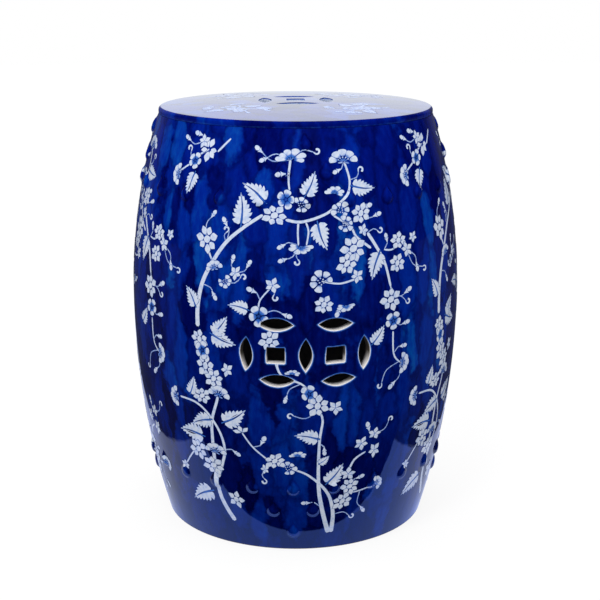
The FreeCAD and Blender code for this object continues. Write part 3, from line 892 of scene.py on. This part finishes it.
def motif(kind):
    """The white shapes of one motif: outline, whiteness at its heart, and how far out the heart reaches."""
    if kind == "leaf":
        vein = [(-0.1, -1.2), (0.1, -1.2), (0.13, 3.0), (0.02, 8.6), (-0.13, 3.0)]
        vein = [(0.5 * math.sin(math.pi * y / 10) + x, y) for x, y in vein]
        return [(half, 1.0, 0.0) for half in leaf_halves(10.0)] + [(vein, 0.5, 0.0)]
    if kind == "bud":
        cup = [(-0.3, -7.0), (0.3, -7.0), (0.9, -5.0), (1.5, -3.6), (2.5, -2.3), (0.9, -2.7), (0.0, -3.1)]
        cup += [(-0.9, -2.7), (-2.3, -2.6), (-1.3, -3.8), (-0.8, -5.0)]
        egg = both_sides([(0.0, -2.4), (1.3, -1.7), (2.1, -0.3), (2.0, 1.3), (1.2, 2.7), (0.0, 3.4)])
        return [(cup, 1.0, 0.0), (egg, 1.0, 0.0)]
    if kind == "fan":
        shapes = []
        for i, lean in enumerate((-80, -41, -6, 31, 70)):
            limb = petal(5.0 - 0.4 * (i % 2), 11.0, 9.0, rounded=True)
            shapes.append((turned(limb, lean, 1.0 - abs(lean) / 900), 0.5, 7.0))
        for lean in (-66, -38, -10, 20, 50):
            shapes.append((turned(tick(0.8, 3.6, 0.14, 0.12), lean), 0.7, 0.0))
            shapes.append((turned(oval(0, 4.1, 0.8, 0.8, 0, 6), lean), 0.95, 0.0))
        for side in (-1, 1):
            shapes.append((oval(side * 2.3, -0.7, 3.2, 1.2, 12 * side, 7), 0.75, 0.0))
        return [([(x, 0.86 * y) for x, y in outline], white, reach) for outline, white, reach in shapes]
    if kind == "side":
        petals = ((-86, 10.4), (-52, 9.2), (-17, 10.4), (19, 11.6), (60, 11.0), (96, 8.6))
        shapes = [(turned(petal(2.2, tip, 9.4, rounded=True), lean), 0.35, 5.0) for lean, tip in petals]
        for lean in (-58, -8, 44):
            shapes.append((turned(tick(0.2, 2.2, 0.16, 0.12), lean), 0.7, 0.0))
        return [([(x, 0.66 * y) for x, y in outline], white, reach) for outline, white, reach in shapes]
    if kind == "star":
        pointed = both_sides([(1.2, 3.3), (2.4, 4.3), (2.7, 5.6), (1.6, 7.6), (0.0, 9.6)])
        return [(turned(pointed, 72 * i), 1.0, 0.0) for i in range(5)] + [(round_dot(2.7, 11), 1.0, 0.0)]
    if kind == "blue":
        shapes = []
        for i in range(5):
            limb = petal(1.3, 8.7 - 0.7 * (i % 2), 5, 0.84, 0.34, True)
            shapes.append((turned(limb, 72 * i + 4 * (i % 2)), 0.14, 5.9))
        return shapes + [(round_dot(1.2, 9), 0.25, 0.0)]
    if kind == "dotted":
        shapes = []
        for i, lean in enumerate((-122, -74, -27, 22, 71, 120)):
            shapes.append((turned(petal(3.6, 9.7 - 0.9 * (i % 3), 8.2, rounded=True), lean), 0.45, 6.0))
        for i in range(7):
            lean = 51 * i + 20
            shapes.append((turned(oval(0, 2.8 - 0.9 * (i % 2), 0.75, 1.1, 0, 6), lean), 0.9, 0.0))
        return shapes
    if kind == "loose":
        petals = ((-28, 10.5), (22, 9.2), (-98, 7.6), (190, 10.4), (98, 7.4), (142, 8.4))
        return [(turned(petal(2.0, tip, 6.4, 1.0, 0.4), lean), 1.0, 0.0) for lean, tip in petals]
    if kind == "trefoil":
        return [(turned(petal(1.0, 8.2, 6.4), lean), 1.0, 0.0) for lean in (-60, 0, 60)]
    if kind == "double":
        tips = (10.2, 9.2, 9.8, 8.6, 10.4, 9.4, 8.8)
        ring = [(turned(petal(3.2, tip, 7), 51.4 * i + 5 * (i % 2)), 1.0, 0.0) for i, tip in enumerate(tips)]
        heart = both_sides([(0.0, -3.1), (1.5, -2.3), (2.4, -0.4), (2.2, 1.3), (1.2, 2.6), (0.0, 3.3)])
        return ring + [(heart, 1.0, 0.0)]
    tips = (9.4, 8.2, 8.9, 7.9, 9.1)
    return [(turned(petal(0.7, tip, 5, 0.9), 72 * i + 6 * (i % 2)), 1.0, 0.0) for i, tip in enumerate(tips)]


def new_painting():
    """An empty painting, whose corner points know their white and how the glaze lies on them."""
    painting = bmesh.new()
    painting.verts.layers.float.new("reserve")
    painting.verts.layers.float.new("crown")
    return painting


def dab(painting, spot, tone):
    """One corner point of the paint. Where it isn't white the glaze pools, and the blue is deeper."""
    corner = painting.verts.new(spot)
    corner[painting.verts.layers.float["reserve"]] = tone
    corner[painting.verts.layers.float["crown"]] = 0.0 if tone else POOLED
    return corner


def lay_shape(painting, outline, reach, whiteness, level, place, grow=1.0):
    """One white shape: its face, a soft margin that fades to blue, and a hem down to the wall."""

    def tone(x, y):
        outwards = min(1.0, (math.hypot(x, y) / reach) ** 2) if reach else 0.0
        return whiteness + (1 - whiteness) * outwards

    skirt = outset(outline, SKIRT / grow)
    top = (LOWEST + LAYER * level) * MM
    rings = [[dab(painting, place(x, y, top), tone(x, y)) for x, y in outline]]
    for lift in (top - SKIRT_DIP * MM, -HEM_DEPTH * MM):
        rings.append([dab(painting, place(x, y, lift), 0.0) for x, y in skirt])
    painting.faces.new(rings[0])
    for inner, outer in zip(rings, rings[1:]):
        for i in range(len(inner)):
            j = (i + 1) % len(inner)
            painting.faces.new((inner[i], outer[i], outer[j], inner[j]))


def lay_motif(painting, kind, lean, size, level, place, squash=1.0, aslant=0.0):
    """Paints one motif, turned lean degrees clockwise, and squashed as if seen from one side."""

    def set_down(x, y, lift):
        x, y = turned([(x, y)], lean - aslant, size)[0]
        return place(*turned([(x, y * squash)], aslant)[0], lift)

    for outline, whiteness, reach in motif(kind):
        lay_shape(painting, outline, reach, whiteness, level, set_down, size)


def lay_stroke(painting, points, widths, level, place, whiteness=1.0):
    """One stroke of the brush through points (across, up), as wide at its start and end as widths says."""
    track = []
    for i in range(len(points) - 1):
        before = points[max(i - 1, 0)]
        here, there = points[i], points[i + 1]
        after = points[min(i + 2, len(points) - 1)]
        steps = max(2, int(math.dist(here, there) / BRUSH_STEP))
        for step in range(steps):
            t = step / steps
            track.append(
                tuple(
                    0.5 * (2 * here[k] + (there[k] - before[k]) * t
                           + (2 * before[k] - 5 * here[k] + 4 * there[k] - after[k]) * t * t
                           + (3 * here[k] - before[k] - 3 * there[k] + after[k]) * t**3)
                    for k in (0, 1)
                )
            )
    track.append(points[-1])
    top = (LOWEST + LAYER * level) * MM
    rows = []
    for i, here in enumerate(track):
        run = Vector(track[min(i + 1, len(track) - 1)]) - Vector(track[max(i - 1, 0)])
        run.normalize()
        share = i / (len(track) - 1)
        half = (widths[0] + (widths[1] - widths[0]) * share) / 2
        if i in (0, len(track) - 1):
            half *= 0.45
        row = []
        for out, lift, tone in (
            (-half - SKIRT, -HEM_DEPTH * MM, 0.0),
            (-half - SKIRT, top - SKIRT_DIP * MM, 0.0),
            (-half, top, whiteness),
            (half, top, whiteness),
            (half + SKIRT, top - SKIRT_DIP * MM, 0.0),
            (half + SKIRT, -HEM_DEPTH * MM, 0.0),
        ):
            row.append(dab(painting, place(here[0] + run.y * out, here[1] - run.x * out, lift), tone))
        rows.append(row)
    for lower, upper in zip(rows, rows[1:]):
        for i in range(5):
            painting.faces.new((lower[i], lower[i + 1], upper[i + 1], upper[i]))


def finish_painting(name, painting, glazed, true_normal, lifted=lambda point: False):
    """Makes a painting into a piece of its own, facing out and shaded as the surface under it."""
    bmesh.ops.recalc_face_normals(painting, faces=painting.faces)
    for face in painting.faces:
        if face.normal.dot(true_normal(face.calc_center_median())) < -0.3:
            face.normal_flip()
    mesh = bpy.data.meshes.new(name)
    painting.to_mesh(mesh)
    painting.free()
    piece = bpy.data.objects.new(name, mesh)
    bpy.context.scene.collection.objects.link(piece)
    piece.data.materials.append(glazed)
    smooth_to(piece, true_normal, -2, lifted)
    return piece


BRANCHES = (
    # wide at the start, at the end, then the points it goes through
    (4.6, 2.6, (-33.6, 243), (-33.6, 263), (-32, 287), (-28.6, 308), (-23.6, 330), (-17.4, 346),
     (-11.3, 358)),
    (2.4, 1.6, (-3.6, 354), (1.4, 352), (8, 357), (12.5, 364), (17.5, 377), (18.7, 390), (17.2, 407)),
    (1.4, 2.2, (12, 358), (18, 346), (20, 336), (25, 324)),
    (3.0, 2.0, (24, 339), (27, 325), (30, 308), (32, 284)),
    (1.4, 1.2, (30, 321), (33, 320), (36, 324)),
    (2.4, 4.8, (-26.8, 172), (-27.6, 164), (-29.7, 145), (-30.2, 124), (-30.2, 81), (-29.7, 60),
     (-27.6, 44), (-24.7, 30)),
    (1.6, 3.0, (-43, 163), (-36, 161), (-31, 151), (-27, 133), (-25.6, 114), (-27, 98), (-29.4, 80)),
    (1.6, 4.6, (7.4, 163), (8.8, 152), (7.9, 127), (8.1, 81), (9.8, 51), (13, 20)),
    (1.4, 4.4, (-1.3, 98), (3.7, 92), (9.2, 78), (12.6, 63), (14.4, 42), (14.2, 20)),
    (2.2, 1.4, (19, 93), (21, 105), (25, 112)),
    (1.6, 1.2, (33, 238), (33.5, 215), (36, 205), (38.7, 202)),
    (1.8, 1.5, (-30, 414.5), (-28.2, 419.5), (-25.2, 427.5)),
    (2.2, 1.4, (-8.6, 230), (-6.5, 212), (-4.5, 200), (1.5, 192), (4.2, 184)),
    (1.2, 1.0, (-12.2, 265), (-11.6, 276), (-8.4, 288)),
    (2.0, 1.2, (-2.2, 410), (-2.8, 393), (-2.4, 381)),
    (1.6, 1.2, (0.6, 352), (0.4, 342), (0.6, 330)),
    (1.5, 1.1, (3.0, 352), (3.9, 343), (3.2, 330)),
    (1.8, 1.4, (-30.8, 325), (-29, 314), (-27.4, 306)),
    (1.6, 1.2, (-33, 232), (-34, 224), (-32, 219)),
    (1.8, 1.4, (-28, 193), (-28.5, 184), (-27, 172)),
    (1.6, 1.2, (19.8, 296), (14, 292), (8, 295)),
    (1.6, 1.2, (32, 284), (32.5, 276), (32, 271)),
    (1.6, 1.2, (-34, 416), (-38, 410), (-39.7, 404)),
    (1.4, 1.2, (-39.7, 404), (-44.5, 396), (-48.3, 389)),
    (1.4, 1.2, (-9.5, 107), (-15, 121), (-18.6, 136)),
    (1.4, 1.2, (-30, 113), (-38, 107), (-45, 84)),
    (1.4, 1.2, (18, 66), (24.5, 67), (31.4, 72)),
)
BLOSSOMS = (
    # angle, height, kind, size, and which way it leans where that matters
    (-7.4, 358, "open", 1.15), (-3.6, 373, "blue", 0.95), (1.4, 368, "dotted", 0.85, 80),
    (14.8, 362, "dotted", 0.9, 15), (16.2, 349, "dotted", 0.85, 110), (22, 358, "open", 0.95),
    (22.5, 342, "open", 0.6), (13, 378, "side", 0.85, 8), (-2, 410, "side", 1.3, 0),
    (17, 407, "fan", 1.3, 4), (-30.8, 331, "open", 1.3), (-27.4, 303, "fan", 0.85, -15),
    (-23.6, 292, "dotted", 0.75, 150), (-20, 301, "open", 0.75), (-7.6, 291, "open", 0.8, 20),
    (-12, 260, "blue", 1.1), (-8.6, 236, "open", 1.05), (1.4, 329, "side", 1.05, 182),
    (18.7, 325, "open", 1.2), (16.4, 311, "open", 1.1), (19.8, 298, "open", 0.7),
    (8, 295, "dotted", 1.2, -40), (8.7, 272, "open", 0.9), (15.8, 270, "side", 0.8, 176),
    (36, 328, "open", 0.95), (39.4, 318, "open", 0.85), (35, 306, "open", 0.9), (42.6, 329, "open", 0.6),
    (32, 271, "open", 1.15), (33, 249, "blue", 1.05), (36.8, 203, "fan", 1.0, 100), (-33, 230, "open", 1.0),
    (-32, 219, "blue", 1.0), (-31, 203, "open", 1.2), (-28, 191, "open", 1.0), (-23, 202, "open", 0.75),
    (-33, 170, "open", 1.0), (-26.5, 173, "fan", 1.1, 14), (-44.5, 162, "fan", 1.0, -88),
    (-37, 108, "open", 1.1), (-29.5, 109, "fan", 1.15, 10), (-31, 93, "open", 1.2), (-23, 57, "star", 1.0),
    (-45, 84, "open", 0.6), (-18.6, 136, "trefoil", 1.05, -20), (-7.4, 107, "open", 1.0),
    (-2.8, 99, "dotted", 0.85, 70), (0.6, 113, "side", 0.75, 0), (4.2, 181, "blue", 1.0),
    (7, 168, "open", 1.1), (13, 165, "open", 0.85), (-1.3, 202, "side", 0.65, 6), (23, 122, "open", 0.85),
    (28, 131, "open", 0.8), (28.4, 112, "open", 0.85), (19, 89, "open", 0.85), (20, 74, "open", 0.95),
    (17.6, 57, "open", 1.05), (30.6, 72, "fan", 0.85, 70), (-34, 416, "loose", 1.1, 0),
    (-39.7, 404, "blue", 0.9), (-46.5, 389, "fan", 0.95, -84), (-36.8, 423, "open", 0.7),
    (-11, 97, "open", 0.55),
)
LEAVES = (
    # foot of the leaf, then its tip
    (19.8, 384, 28, 381), (3, 377, 6.4, 399), (-10.8, 371, -18.8, 387), (-18.6, 349, -19.3, 378),
    (7, 350, 10, 325), (28, 318, 25, 293), (-15.8, 266, -22.4, 269), (-27.4, 239, -22.7, 257),
    (-28, 237, -19.7, 229), (25.4, 229, 29.4, 246), (-38, 170, -36, 189), (-25, 145, -17, 161),
    (-34.4, 125, -44.7, 126), (-33.6, 61, -43.6, 45), (7.2, 132, -0.6, 136), (11.4, 81, 16.8, 102),
    (-34.6, 264, -38.4, 282), (-39, 392, -40.8, 372), (-30.5, 145, -38.5, 136), (8.2, 104, 11.5, 112),
)
BUDS = (
    # angle, height, and what it grows from where that isn't the nearest joint
    (-14.3, 420, -2, 410), (-12.4, 409, -2, 410), (7.2, 417), (-6.3, 396), (13.7, 398), (23, 399),
    (25.3, 365), (28.7, 356), (28.7, 340), (31, 334), (44, 297), (47.6, 296), (-28.6, 357), (-24.7, 351),
    (-23.6, 342), (-15.2, 312), (-20.8, 316), (-17.4, 298), (-27, 275), (-15, 286), (-6.9, 279),
    (-5.4, 328), (-5, 315), (0.3, 314), (-2.4, 261), (39.8, 278), (39, 266), (39, 245), (38, 221),
    (28.7, 183), (33, 180), (-3.6, 174), (-1.9, 158), (-11, 131), (-20.6, 111), (-11.3, 83), (9.8, 116),
    (3, 58), (22, 37), (27, 42), (25, 142), (34, 144), (-45.8, 425), (-40.8, 430), (-43, 415), (13, 262),
    (24.5, 84),
)


def mm_apart(here, there):
    """Millimetres along the wall between two places on it."""
    middle = wall_radius((here[1] + there[1]) / 2 * MM) / MM
    return math.hypot(math.radians(there[0] - here[0]) * middle, there[1] - here[1])


def lean_towards(here, there):
    """Degrees clockwise from upright, going from one place on the wall to another."""
    middle = wall_radius((here[1] + there[1]) / 2 * MM) / MM
    return math.degrees(math.atan2(math.radians(there[0] - here[0]) * middle, there[1] - here[1]))


def wall_strokes(angle, height):
    """Turns a place in millimetres round (angle, height) into a point on the wall."""

    def place(x, y, lift):
        up = (height + y) * MM
        return on_wall(angle + math.degrees(x * MM / wall_radius(up)), up, lift)

    return place


def flat_from(angle, height, spot):
    """Millimetres across and up from (angle, height) to a place on the wall."""
    return (math.radians(spot[0] - angle) * wall_radius(spot[1] * MM) / MM, spot[1] - height)


def paint_quarter():
    """Paints one quarter's branches, blossoms, leaves and buds into a mesh of their own."""
    painting = new_painting()
    hand = random.Random(7)
    joints = [(spot, BRANCH_REACH) for branch in BRANCHES for spot in branch[2:]]
    joints += [(blossom[:2], HEART_REACH) for blossom in BLOSSOMS]
    for start, end, *spots in BRANCHES:
        angle, height = spots[0]
        angle -= CAMERA_TURN
        points = [flat_from(angle, height, (spot[0] - CAMERA_TURN, spot[1])) for spot in spots]
        level = 1 if max(start, end) > THIN_BRANCH else 0
        lay_stroke(painting, points, (start, end), level, wall_strokes(angle, height))
    for number, bud in enumerate(BUDS):
        near = [spot for spot, gap in joints if mm_apart(spot, bud) > gap + 3]
        root = bud[2:] or min(near, key=lambda spot: mm_apart(spot, bud))
        angle, height = root[0] - CAMERA_TURN, root[1]
        stem = wall_strokes(angle, height)
        end = flat_from(angle, height, (bud[0] - CAMERA_TURN, bud[1]))
        side = 1 if number % 2 else -1
        bend = (end[0] * 0.5 + end[1] * 0.2 * side, end[1] * 0.5 - end[0] * 0.2 * side)
        run = Vector((end[0] - bend[0], end[1] - bend[1])).normalized()
        if number % 3 == 2:
            aside = Vector((run.y, -run.x)) * side
            curl = [tuple(Vector(end) + run * along + aside * across) for along, across in TENDRIL]
            lay_stroke(painting, [(0.0, 0.0), bend, curl[0]], (0.55, 0.7), 0, stem, STEM_WHITE)
            lay_stroke(painting, curl, (0.7, 2.0), 1, stem)
        else:
            stop = (end[0] - run.x * BUD_FOOT, end[1] - run.y * BUD_FOOT)
            lay_stroke(painting, [(0.0, 0.0), bend, stop], (0.75, 0.6), 0, stem, STEM_WHITE)
            lean = math.degrees(math.atan2(run.x, run.y))
            place = wall_strokes(bud[0] - CAMERA_TURN, bud[1])
            lay_motif(painting, "bud", lean, hand.uniform(0.85, 1.1), 2, place)
    for foot, low, tip, high in LEAVES:
        length = mm_apart((foot, low), (tip, high))
        lean = lean_towards((foot, low), (tip, high))
        lay_motif(painting, "leaf", lean, length / 10.0, 2, wall_strokes(foot - CAMERA_TURN, low))
    laid = []
    for angle, height, kind, size, *given in BLOSSOMS:
        size *= BLOSSOM_GROWTH
        reach = BLOSSOM_REACH * size
        taken = {there for spot, far, there in laid if mm_apart(spot, (angle, height)) < reach + far}
        level = min(set(range(3, 9)) - taken)
        laid.append(((angle, height), reach, level))
        lean = given[0] if given else hand.uniform(0, 72)
        kind = "double" if kind == "open" and size > 1.0 else kind
        place = wall_strokes(angle - CAMERA_TURN, height)
        squash = hand.uniform(0.8, 1.0)
        aslant = 0 if given else hand.uniform(0, 180)
        lay_motif(painting, kind, lean, size, level, place, squash, aslant)
    return painting


def stud_lift(angle, height):
    """How high a stud stands at a place on the wall, or 0 beside them."""
    for middle, turn, angles in STUD_ROWS.values():
        if abs(height - middle) > 0.015:
            continue
        for at in angles:
            off = (angle - turn - at + 180) % 360 - 180
            if abs(off) < 4:
                x, y = math.radians(off) * wall_radius(height), height - middle
                share = math.hypot(x, y) / drop_reach(abs(math.atan2(x, y)))
                for (outer, low, _), (inner, high, _) in zip(STUD_RINGS, STUD_RINGS[1:] + (STUD_CROWN,)):
                    if inner <= share < outer:
                        return max(0.0, low + (high - low) * (outer - share) / (outer - inner))
    return 0.0


def on_stud(point):
    """True for a point that stands proud of the wall, on a stud."""
    return math.hypot(point.x, point.y) > wall_radius(point.z) + 0.0008


def near_stud(point):
    """True for a point of the painting that a stud may lie under."""
    around = math.degrees(math.atan2(point.x, -point.y))
    for height, turn, angles in STUD_ROWS.values():
        if abs(point.z - height) < 0.024:
            if any(abs((around - turn - at + 180) % 360 - 180) < 7.5 for at in angles):
                return True
    return False


def follow_studs(painting):
    """Where a motif crosses a stud, its faces are made finer and laid over the stud."""
    near = [face for face in painting.faces if near_stud(face.calc_center_median())]
    near = [face for face in near if len(face.verts) > 4 or face.calc_area() > COARSE_AREA]
    split = bmesh.ops.triangulate(painting, faces=near)["faces"]
    for _ in range(2):
        edges = {edge for face in split if face.is_valid for edge in face.edges}
        edges = [edge for edge in edges if edge.calc_length() > COARSE_EDGE]
        cut = bmesh.ops.subdivide_edges(painting, edges=edges, cuts=1, use_grid_fill=True)
        split = [item for item in cut["geom"] if isinstance(item, bmesh.types.BMFace)]
        split = bmesh.ops.triangulate(painting, faces=split)["faces"]
    for corner in painting.verts:
        rise = stud_lift(math.degrees(math.atan2(corner.co.x, -corner.co.y)), corner.co.z)
        if rise > 0 and math.hypot(corner.co.x, corner.co.y) > wall_radius(corner.co.z):
            corner.co += wall_normal(corner.co) * rise


def inside_outline(outline, x, y):
    """True for a place within an outline, by counting the sides to the right of it."""
    inside = False
    for (ax, ay), (bx, by) in zip(outline, outline[1:] + outline[:1]):
        if (ay > y) != (by > y) and x < (bx - ax) * (y - ay) / (by - ay) + ax:
            inside = not inside
    return inside


def keep_off_openings(painting):
    """Draws the paint back from the coins' openings, to their cream edges."""
    hit = set()
    for corner in painting.verts:
        point = corner.co
        around = math.degrees(math.atan2(point.x, -point.y))
        for angle, height, outline in cuts:
            if abs(around - angle) > 9 or abs(point.z - height) > 0.022:
                continue
            radius = math.hypot(point.x, point.y)
            x, y = radius * math.sin(math.radians(around - angle)), point.z - height
            edge = grown(outline, PAINT_GAP)
            if inside_outline(edge, x, y):
                hit.add(corner)
                x2, y2 = min(edge, key=lambda spot: math.dist(spot, (x, y)))
                lift = radius - wall_radius(point.z)
                corner.co = on_wall(angle + math.degrees(math.asin(x2 / radius)), height + y2, lift)
    lost = [face for face in painting.faces if all(corner in hit for corner in face.verts)]
    bmesh.ops.delete(painting, geom=lost, context="FACES")


for quarter, side in enumerate(("front", "right", "back", "left")):
    painting = paint_quarter()
    painting.normal_update()
    follow_studs(painting)
    if side in ("front", "back"):
        keep_off_openings(painting)
    turn = Matrix.Rotation(math.radians(90 * quarter), 4, "Z")
    bmesh.ops.transform(painting, matrix=turn, verts=painting.verts)
    branches = finish_painting("branches_" + side, painting, glaze, wall_normal, on_stud)
    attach(branches, "root")

# The sprays: the same brushwork on the seat, one spray to each quarter, left in reserve as on the
# wall. They lie under a heavier glaze, which makes them thinner and bluer.
SPRAY_STROKES = (
    # wide at the start, at the end, then points across and outwards from the spray's middle
    (2.2, 1.2, (-24, -14), (-10, -6), (4, -3), (18, 6), (30, 10)),
    (1.4, 1.0, (4, -3), (8, -12), (18, -19)),
    (1.2, 0.9, (-10, -6), (-14, 4), (-22, 10)),
)
SPRAY_MOTIFS = (
    # across, outwards, kind, size, lean
    (0, 3, "double", 1.1, 10), (14, -2, "blue", 1.0, 40), (-12, 10, "open", 0.9, 70),
    (20, -21, "fan", 0.9, 120), (31, 12, "open", 0.8, 0), (-25, -15, "open", 0.85, 30),
    (-27, 13, "bud", 1.0, -60), (38, 2, "bud", 1.0, 100), (26, 20, "bud", 1.0, 20),
    (-34, -8, "bud", 1.0, -80), (2, -14, "leaf", 1.9, 200), (8, 14, "leaf", 2.0, 20),
    (-12, -16, "leaf", 1.8, 250),
)
SPRAY_REACH = 0.088
SPRAY_WHITE = 0.72
SPRAY_LIFT = 0.25


def seat_strokes(side, x0, y0):
    """Turns millimetres round a spray's spot into a point on the seat."""
    turn = math.radians(side)

    def place(x, y, lift):
        across, out = (x0 + x) * MM, SPRAY_REACH + (y0 + y) * MM
        spot = Vector((across, out, 0)) @ Matrix.Rotation(turn, 3, "Z")
        spot.z = seat_height(math.hypot(spot.x, spot.y))
        return spot + seat_normal(spot) * (lift * SPRAY_LIFT)

    return place


painting = new_painting()
for quarter in range(4):
    side = 45 + 90 * quarter
    for start, end, *points in SPRAY_STROKES:
        lay_stroke(painting, points, (start, end), 0, seat_strokes(side, 0, 0))
    for number, (x, y, kind, size, lean) in enumerate(SPRAY_MOTIFS):
        lay_motif(painting, kind, lean, size, 2 + number % 3, seat_strokes(side, x, y))
white = painting.verts.layers.float["reserve"]
deep = painting.verts.layers.float["crown"]
for corner in painting.verts:
    corner[white] *= SPRAY_WHITE
    corner[deep] = 0.0
branches = finish_painting("branches_seat", painting, seat_glaze, seat_normal)
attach(branches, "root")

# The studio: a white table whose front edge ends just before the stool, a white backdrop behind and
# a dark room in front, which is what the glaze mirrors. The light is plain and soft.
NEAR_PAPER = (0.32, 0.6, 2.05, 1)
FAR_PAPER = (0.6, 0.68, 1.02, 1)
WHITE = (1, 1, 1, 1)
SCREEN_WHITE = (0.92, 0.96, 1.0, 1)
SHADOW_GREY = (0.14, 0.14, 0.14, 1)
BOUNCE_GREY = (0.4, 0.4, 0.4, 1)
TABLE_FRONT = (-0.1658, -0.1642)
TABLE_LEFT = (-0.305, -0.297)
TABLE_RIGHT = (0.283, 0.275)
PAPER_FADE = (-0.155, -0.02)
SIDE_GLEAM = 0.07
bpy.ops.object.select_all(action="DESELECT")
bpy.ops.mesh.primitive_plane_add(size=12, location=(0, 0, 0))
floor = bpy.context.object
floor.name = "floor"
floor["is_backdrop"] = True
floor_white = bpy.data.materials.new("white table")
floor_white.use_nodes = True


def either(tree, place, share, first, second):
    """The first shader where share is 0, the second where it is 1."""
    return node(tree, "ShaderNodeMixShader", place, {0: share, 1: first, 2: second}).outputs[0]


def lay_table(material):
    """White to the camera, dim to the light, and to the glaze a mirrored strip of paper."""
    tree = material.node_tree
    tree.nodes.clear()
    ray = node(tree, "ShaderNodeLightPath", (-400, 400)).outputs
    place = node(tree, "ShaderNodeNewGeometry", (-900, 0)).outputs["Position"]
    axes = node(tree, "ShaderNodeSeparateXYZ", (-700, 0), {0: place}).outputs
    front = ranged(tree, (-500, 100), axes["Y"], *TABLE_FRONT)
    left = ranged(tree, (-500, -100), axes["X"], *TABLE_LEFT)
    right = ranged(tree, (-500, -300), axes["X"], *TABLE_RIGHT)
    both = reckon(tree, (-300, -200), "MULTIPLY", left, right)
    sides = reckon(tree, (-200, -200), "MAXIMUM", both, SIDE_GLEAM)
    table = reckon(tree, (-150, 0), "MULTIPLY", front, sides)
    far = ranged(tree, (-500, 300), axes["Y"], *PAPER_FADE)
    paper = mixed(tree, (-100, 250), far, NEAR_PAPER, FAR_PAPER)
    mirrored = node(tree, "ShaderNodeEmission", (100, 100), {"Color": paper, "Strength": table}).outputs[0]
    seen = node(tree, "ShaderNodeEmission", (100, -100), {"Color": WHITE, "Strength": 0.86}).outputs[0]
    lit = node(tree, "ShaderNodeBsdfDiffuse", (100, -250), {"Color": SHADOW_GREY}).outputs[0]
    shadowed = node(tree, "ShaderNodeAddShader", (300, -150), {0: seen, 1: lit}).outputs[0]
    bounce = node(tree, "ShaderNodeBsdfDiffuse", (100, -400), {"Color": BOUNCE_GREY}).outputs[0]
    plain = either(tree, (450, -50), ray["Is Camera Ray"], bounce, shadowed)
    choice = either(tree, (600, 0), ray["Is Glossy Ray"], plain, mirrored)
    node(tree, "ShaderNodeOutputMaterial", (800, 0), {0: choice})


lay_table(floor_white)
floor.data.materials.append(floor_white)

world = bpy.data.worlds.new("soft studio")
bpy.context.scene.world = world
world.use_nodes = True


def light_room(tree):
    """A white backdrop to the camera, soft light all round, and dark but for one screen to the glaze."""
    tree.nodes.clear()
    ray = node(tree, "ShaderNodeLightPath", (0, 300)).outputs
    way = node(tree, "ShaderNodeTexCoord", (-800, 0)).outputs["Generated"]
    axes = node(tree, "ShaderNodeSeparateXYZ", (-600, 0), {0: way}).outputs
    behind = ranged(tree, (-400, 0), axes["Y"], 0.5, 0.92, 0.015, 1.0, "SMOOTHSTEP")
    above = ranged(tree, (-400, -300), axes["Z"], -0.2, 1.0, 1.02, 1.52, "SMOOTHSTEP")
    lift = ranged(tree, (-400, 250), axes["Z"], 0.0, 0.3, 1.0, 1.45)
    centre = reckon(tree, (-500, 450), "SUBTRACT", axes["X"], 0.06)
    aside = reckon(tree, (-400, 450), "ABSOLUTE", centre)
    narrow = ranged(tree, (-200, 450), aside, 0.13, 0.23, 1.0, 0.09, "SMOOTHSTEP")
    screen = reckon(tree, (-100, 300), "MULTIPLY", lift, narrow)
    veil = reckon(tree, (-200, 100), "MULTIPLY", behind, screen)
    screened = {"Color": SCREEN_WHITE, "Strength": veil}
    mirrored = node(tree, "ShaderNodeBackground", (0, 100), screened).outputs[0]
    soft = node(tree, "ShaderNodeBackground", (0, -200), {"Strength": above}).outputs[0]
    seen = node(tree, "ShaderNodeBackground", (0, -400), {"Color": WHITE, "Strength": 1.0}).outputs[0]
    first = either(tree, (300, 0), ray["Is Glossy Ray"], soft, mirrored)
    second = either(tree, (500, 0), ray["Is Camera Ray"], first, seen)
    node(tree, "ShaderNodeOutputWorld", (800, 0), {0: second})


light_room(world.node_tree)

SOFTBOX_AT = (-0.5, -1.1, 1.9)
SOFTBOX_WIDTH = 0.5
SOFTBOX_POWER = 12
STOOL_MIDDLE = (0, 0, 0.3)
bpy.ops.object.light_add(type="AREA", location=SOFTBOX_AT)
softbox = bpy.context.object
softbox.name = "softbox"
softbox.data.shape = "DISK"
softbox.data.size = SOFTBOX_WIDTH
softbox.visible_glossy = False
softbox.data.energy = SOFTBOX_POWER
aim = Vector(STOOL_MIDDLE) - softbox.location
softbox.rotation_euler = aim.to_track_quat("-Z", "Y").to_euler()

# The camera stands where the photographer's did: 1.4 m off, a little to the left and 15 cm higher
# than the seat, looking down.
CAMERA_AT = (-0.08378, -1.40324, 0.60159)
CAMERA_DIP = 14.768
FOCAL_LENGTH = 79.2
FRAME_SHIFT = 0.0235
bpy.ops.object.camera_add(location=CAMERA_AT)
camera = bpy.context.object
camera.rotation_euler = Euler((math.radians(90 - CAMERA_DIP), 0, math.radians(-CAMERA_TURN)))
camera.data.lens = FOCAL_LENGTH
camera.data.sensor_width = 36
camera.data.shift_x = FRAME_SHIFT
bpy.context.scene.camera = camera
bpy.context.scene.view_settings.view_transform = "Standard"

low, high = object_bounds()
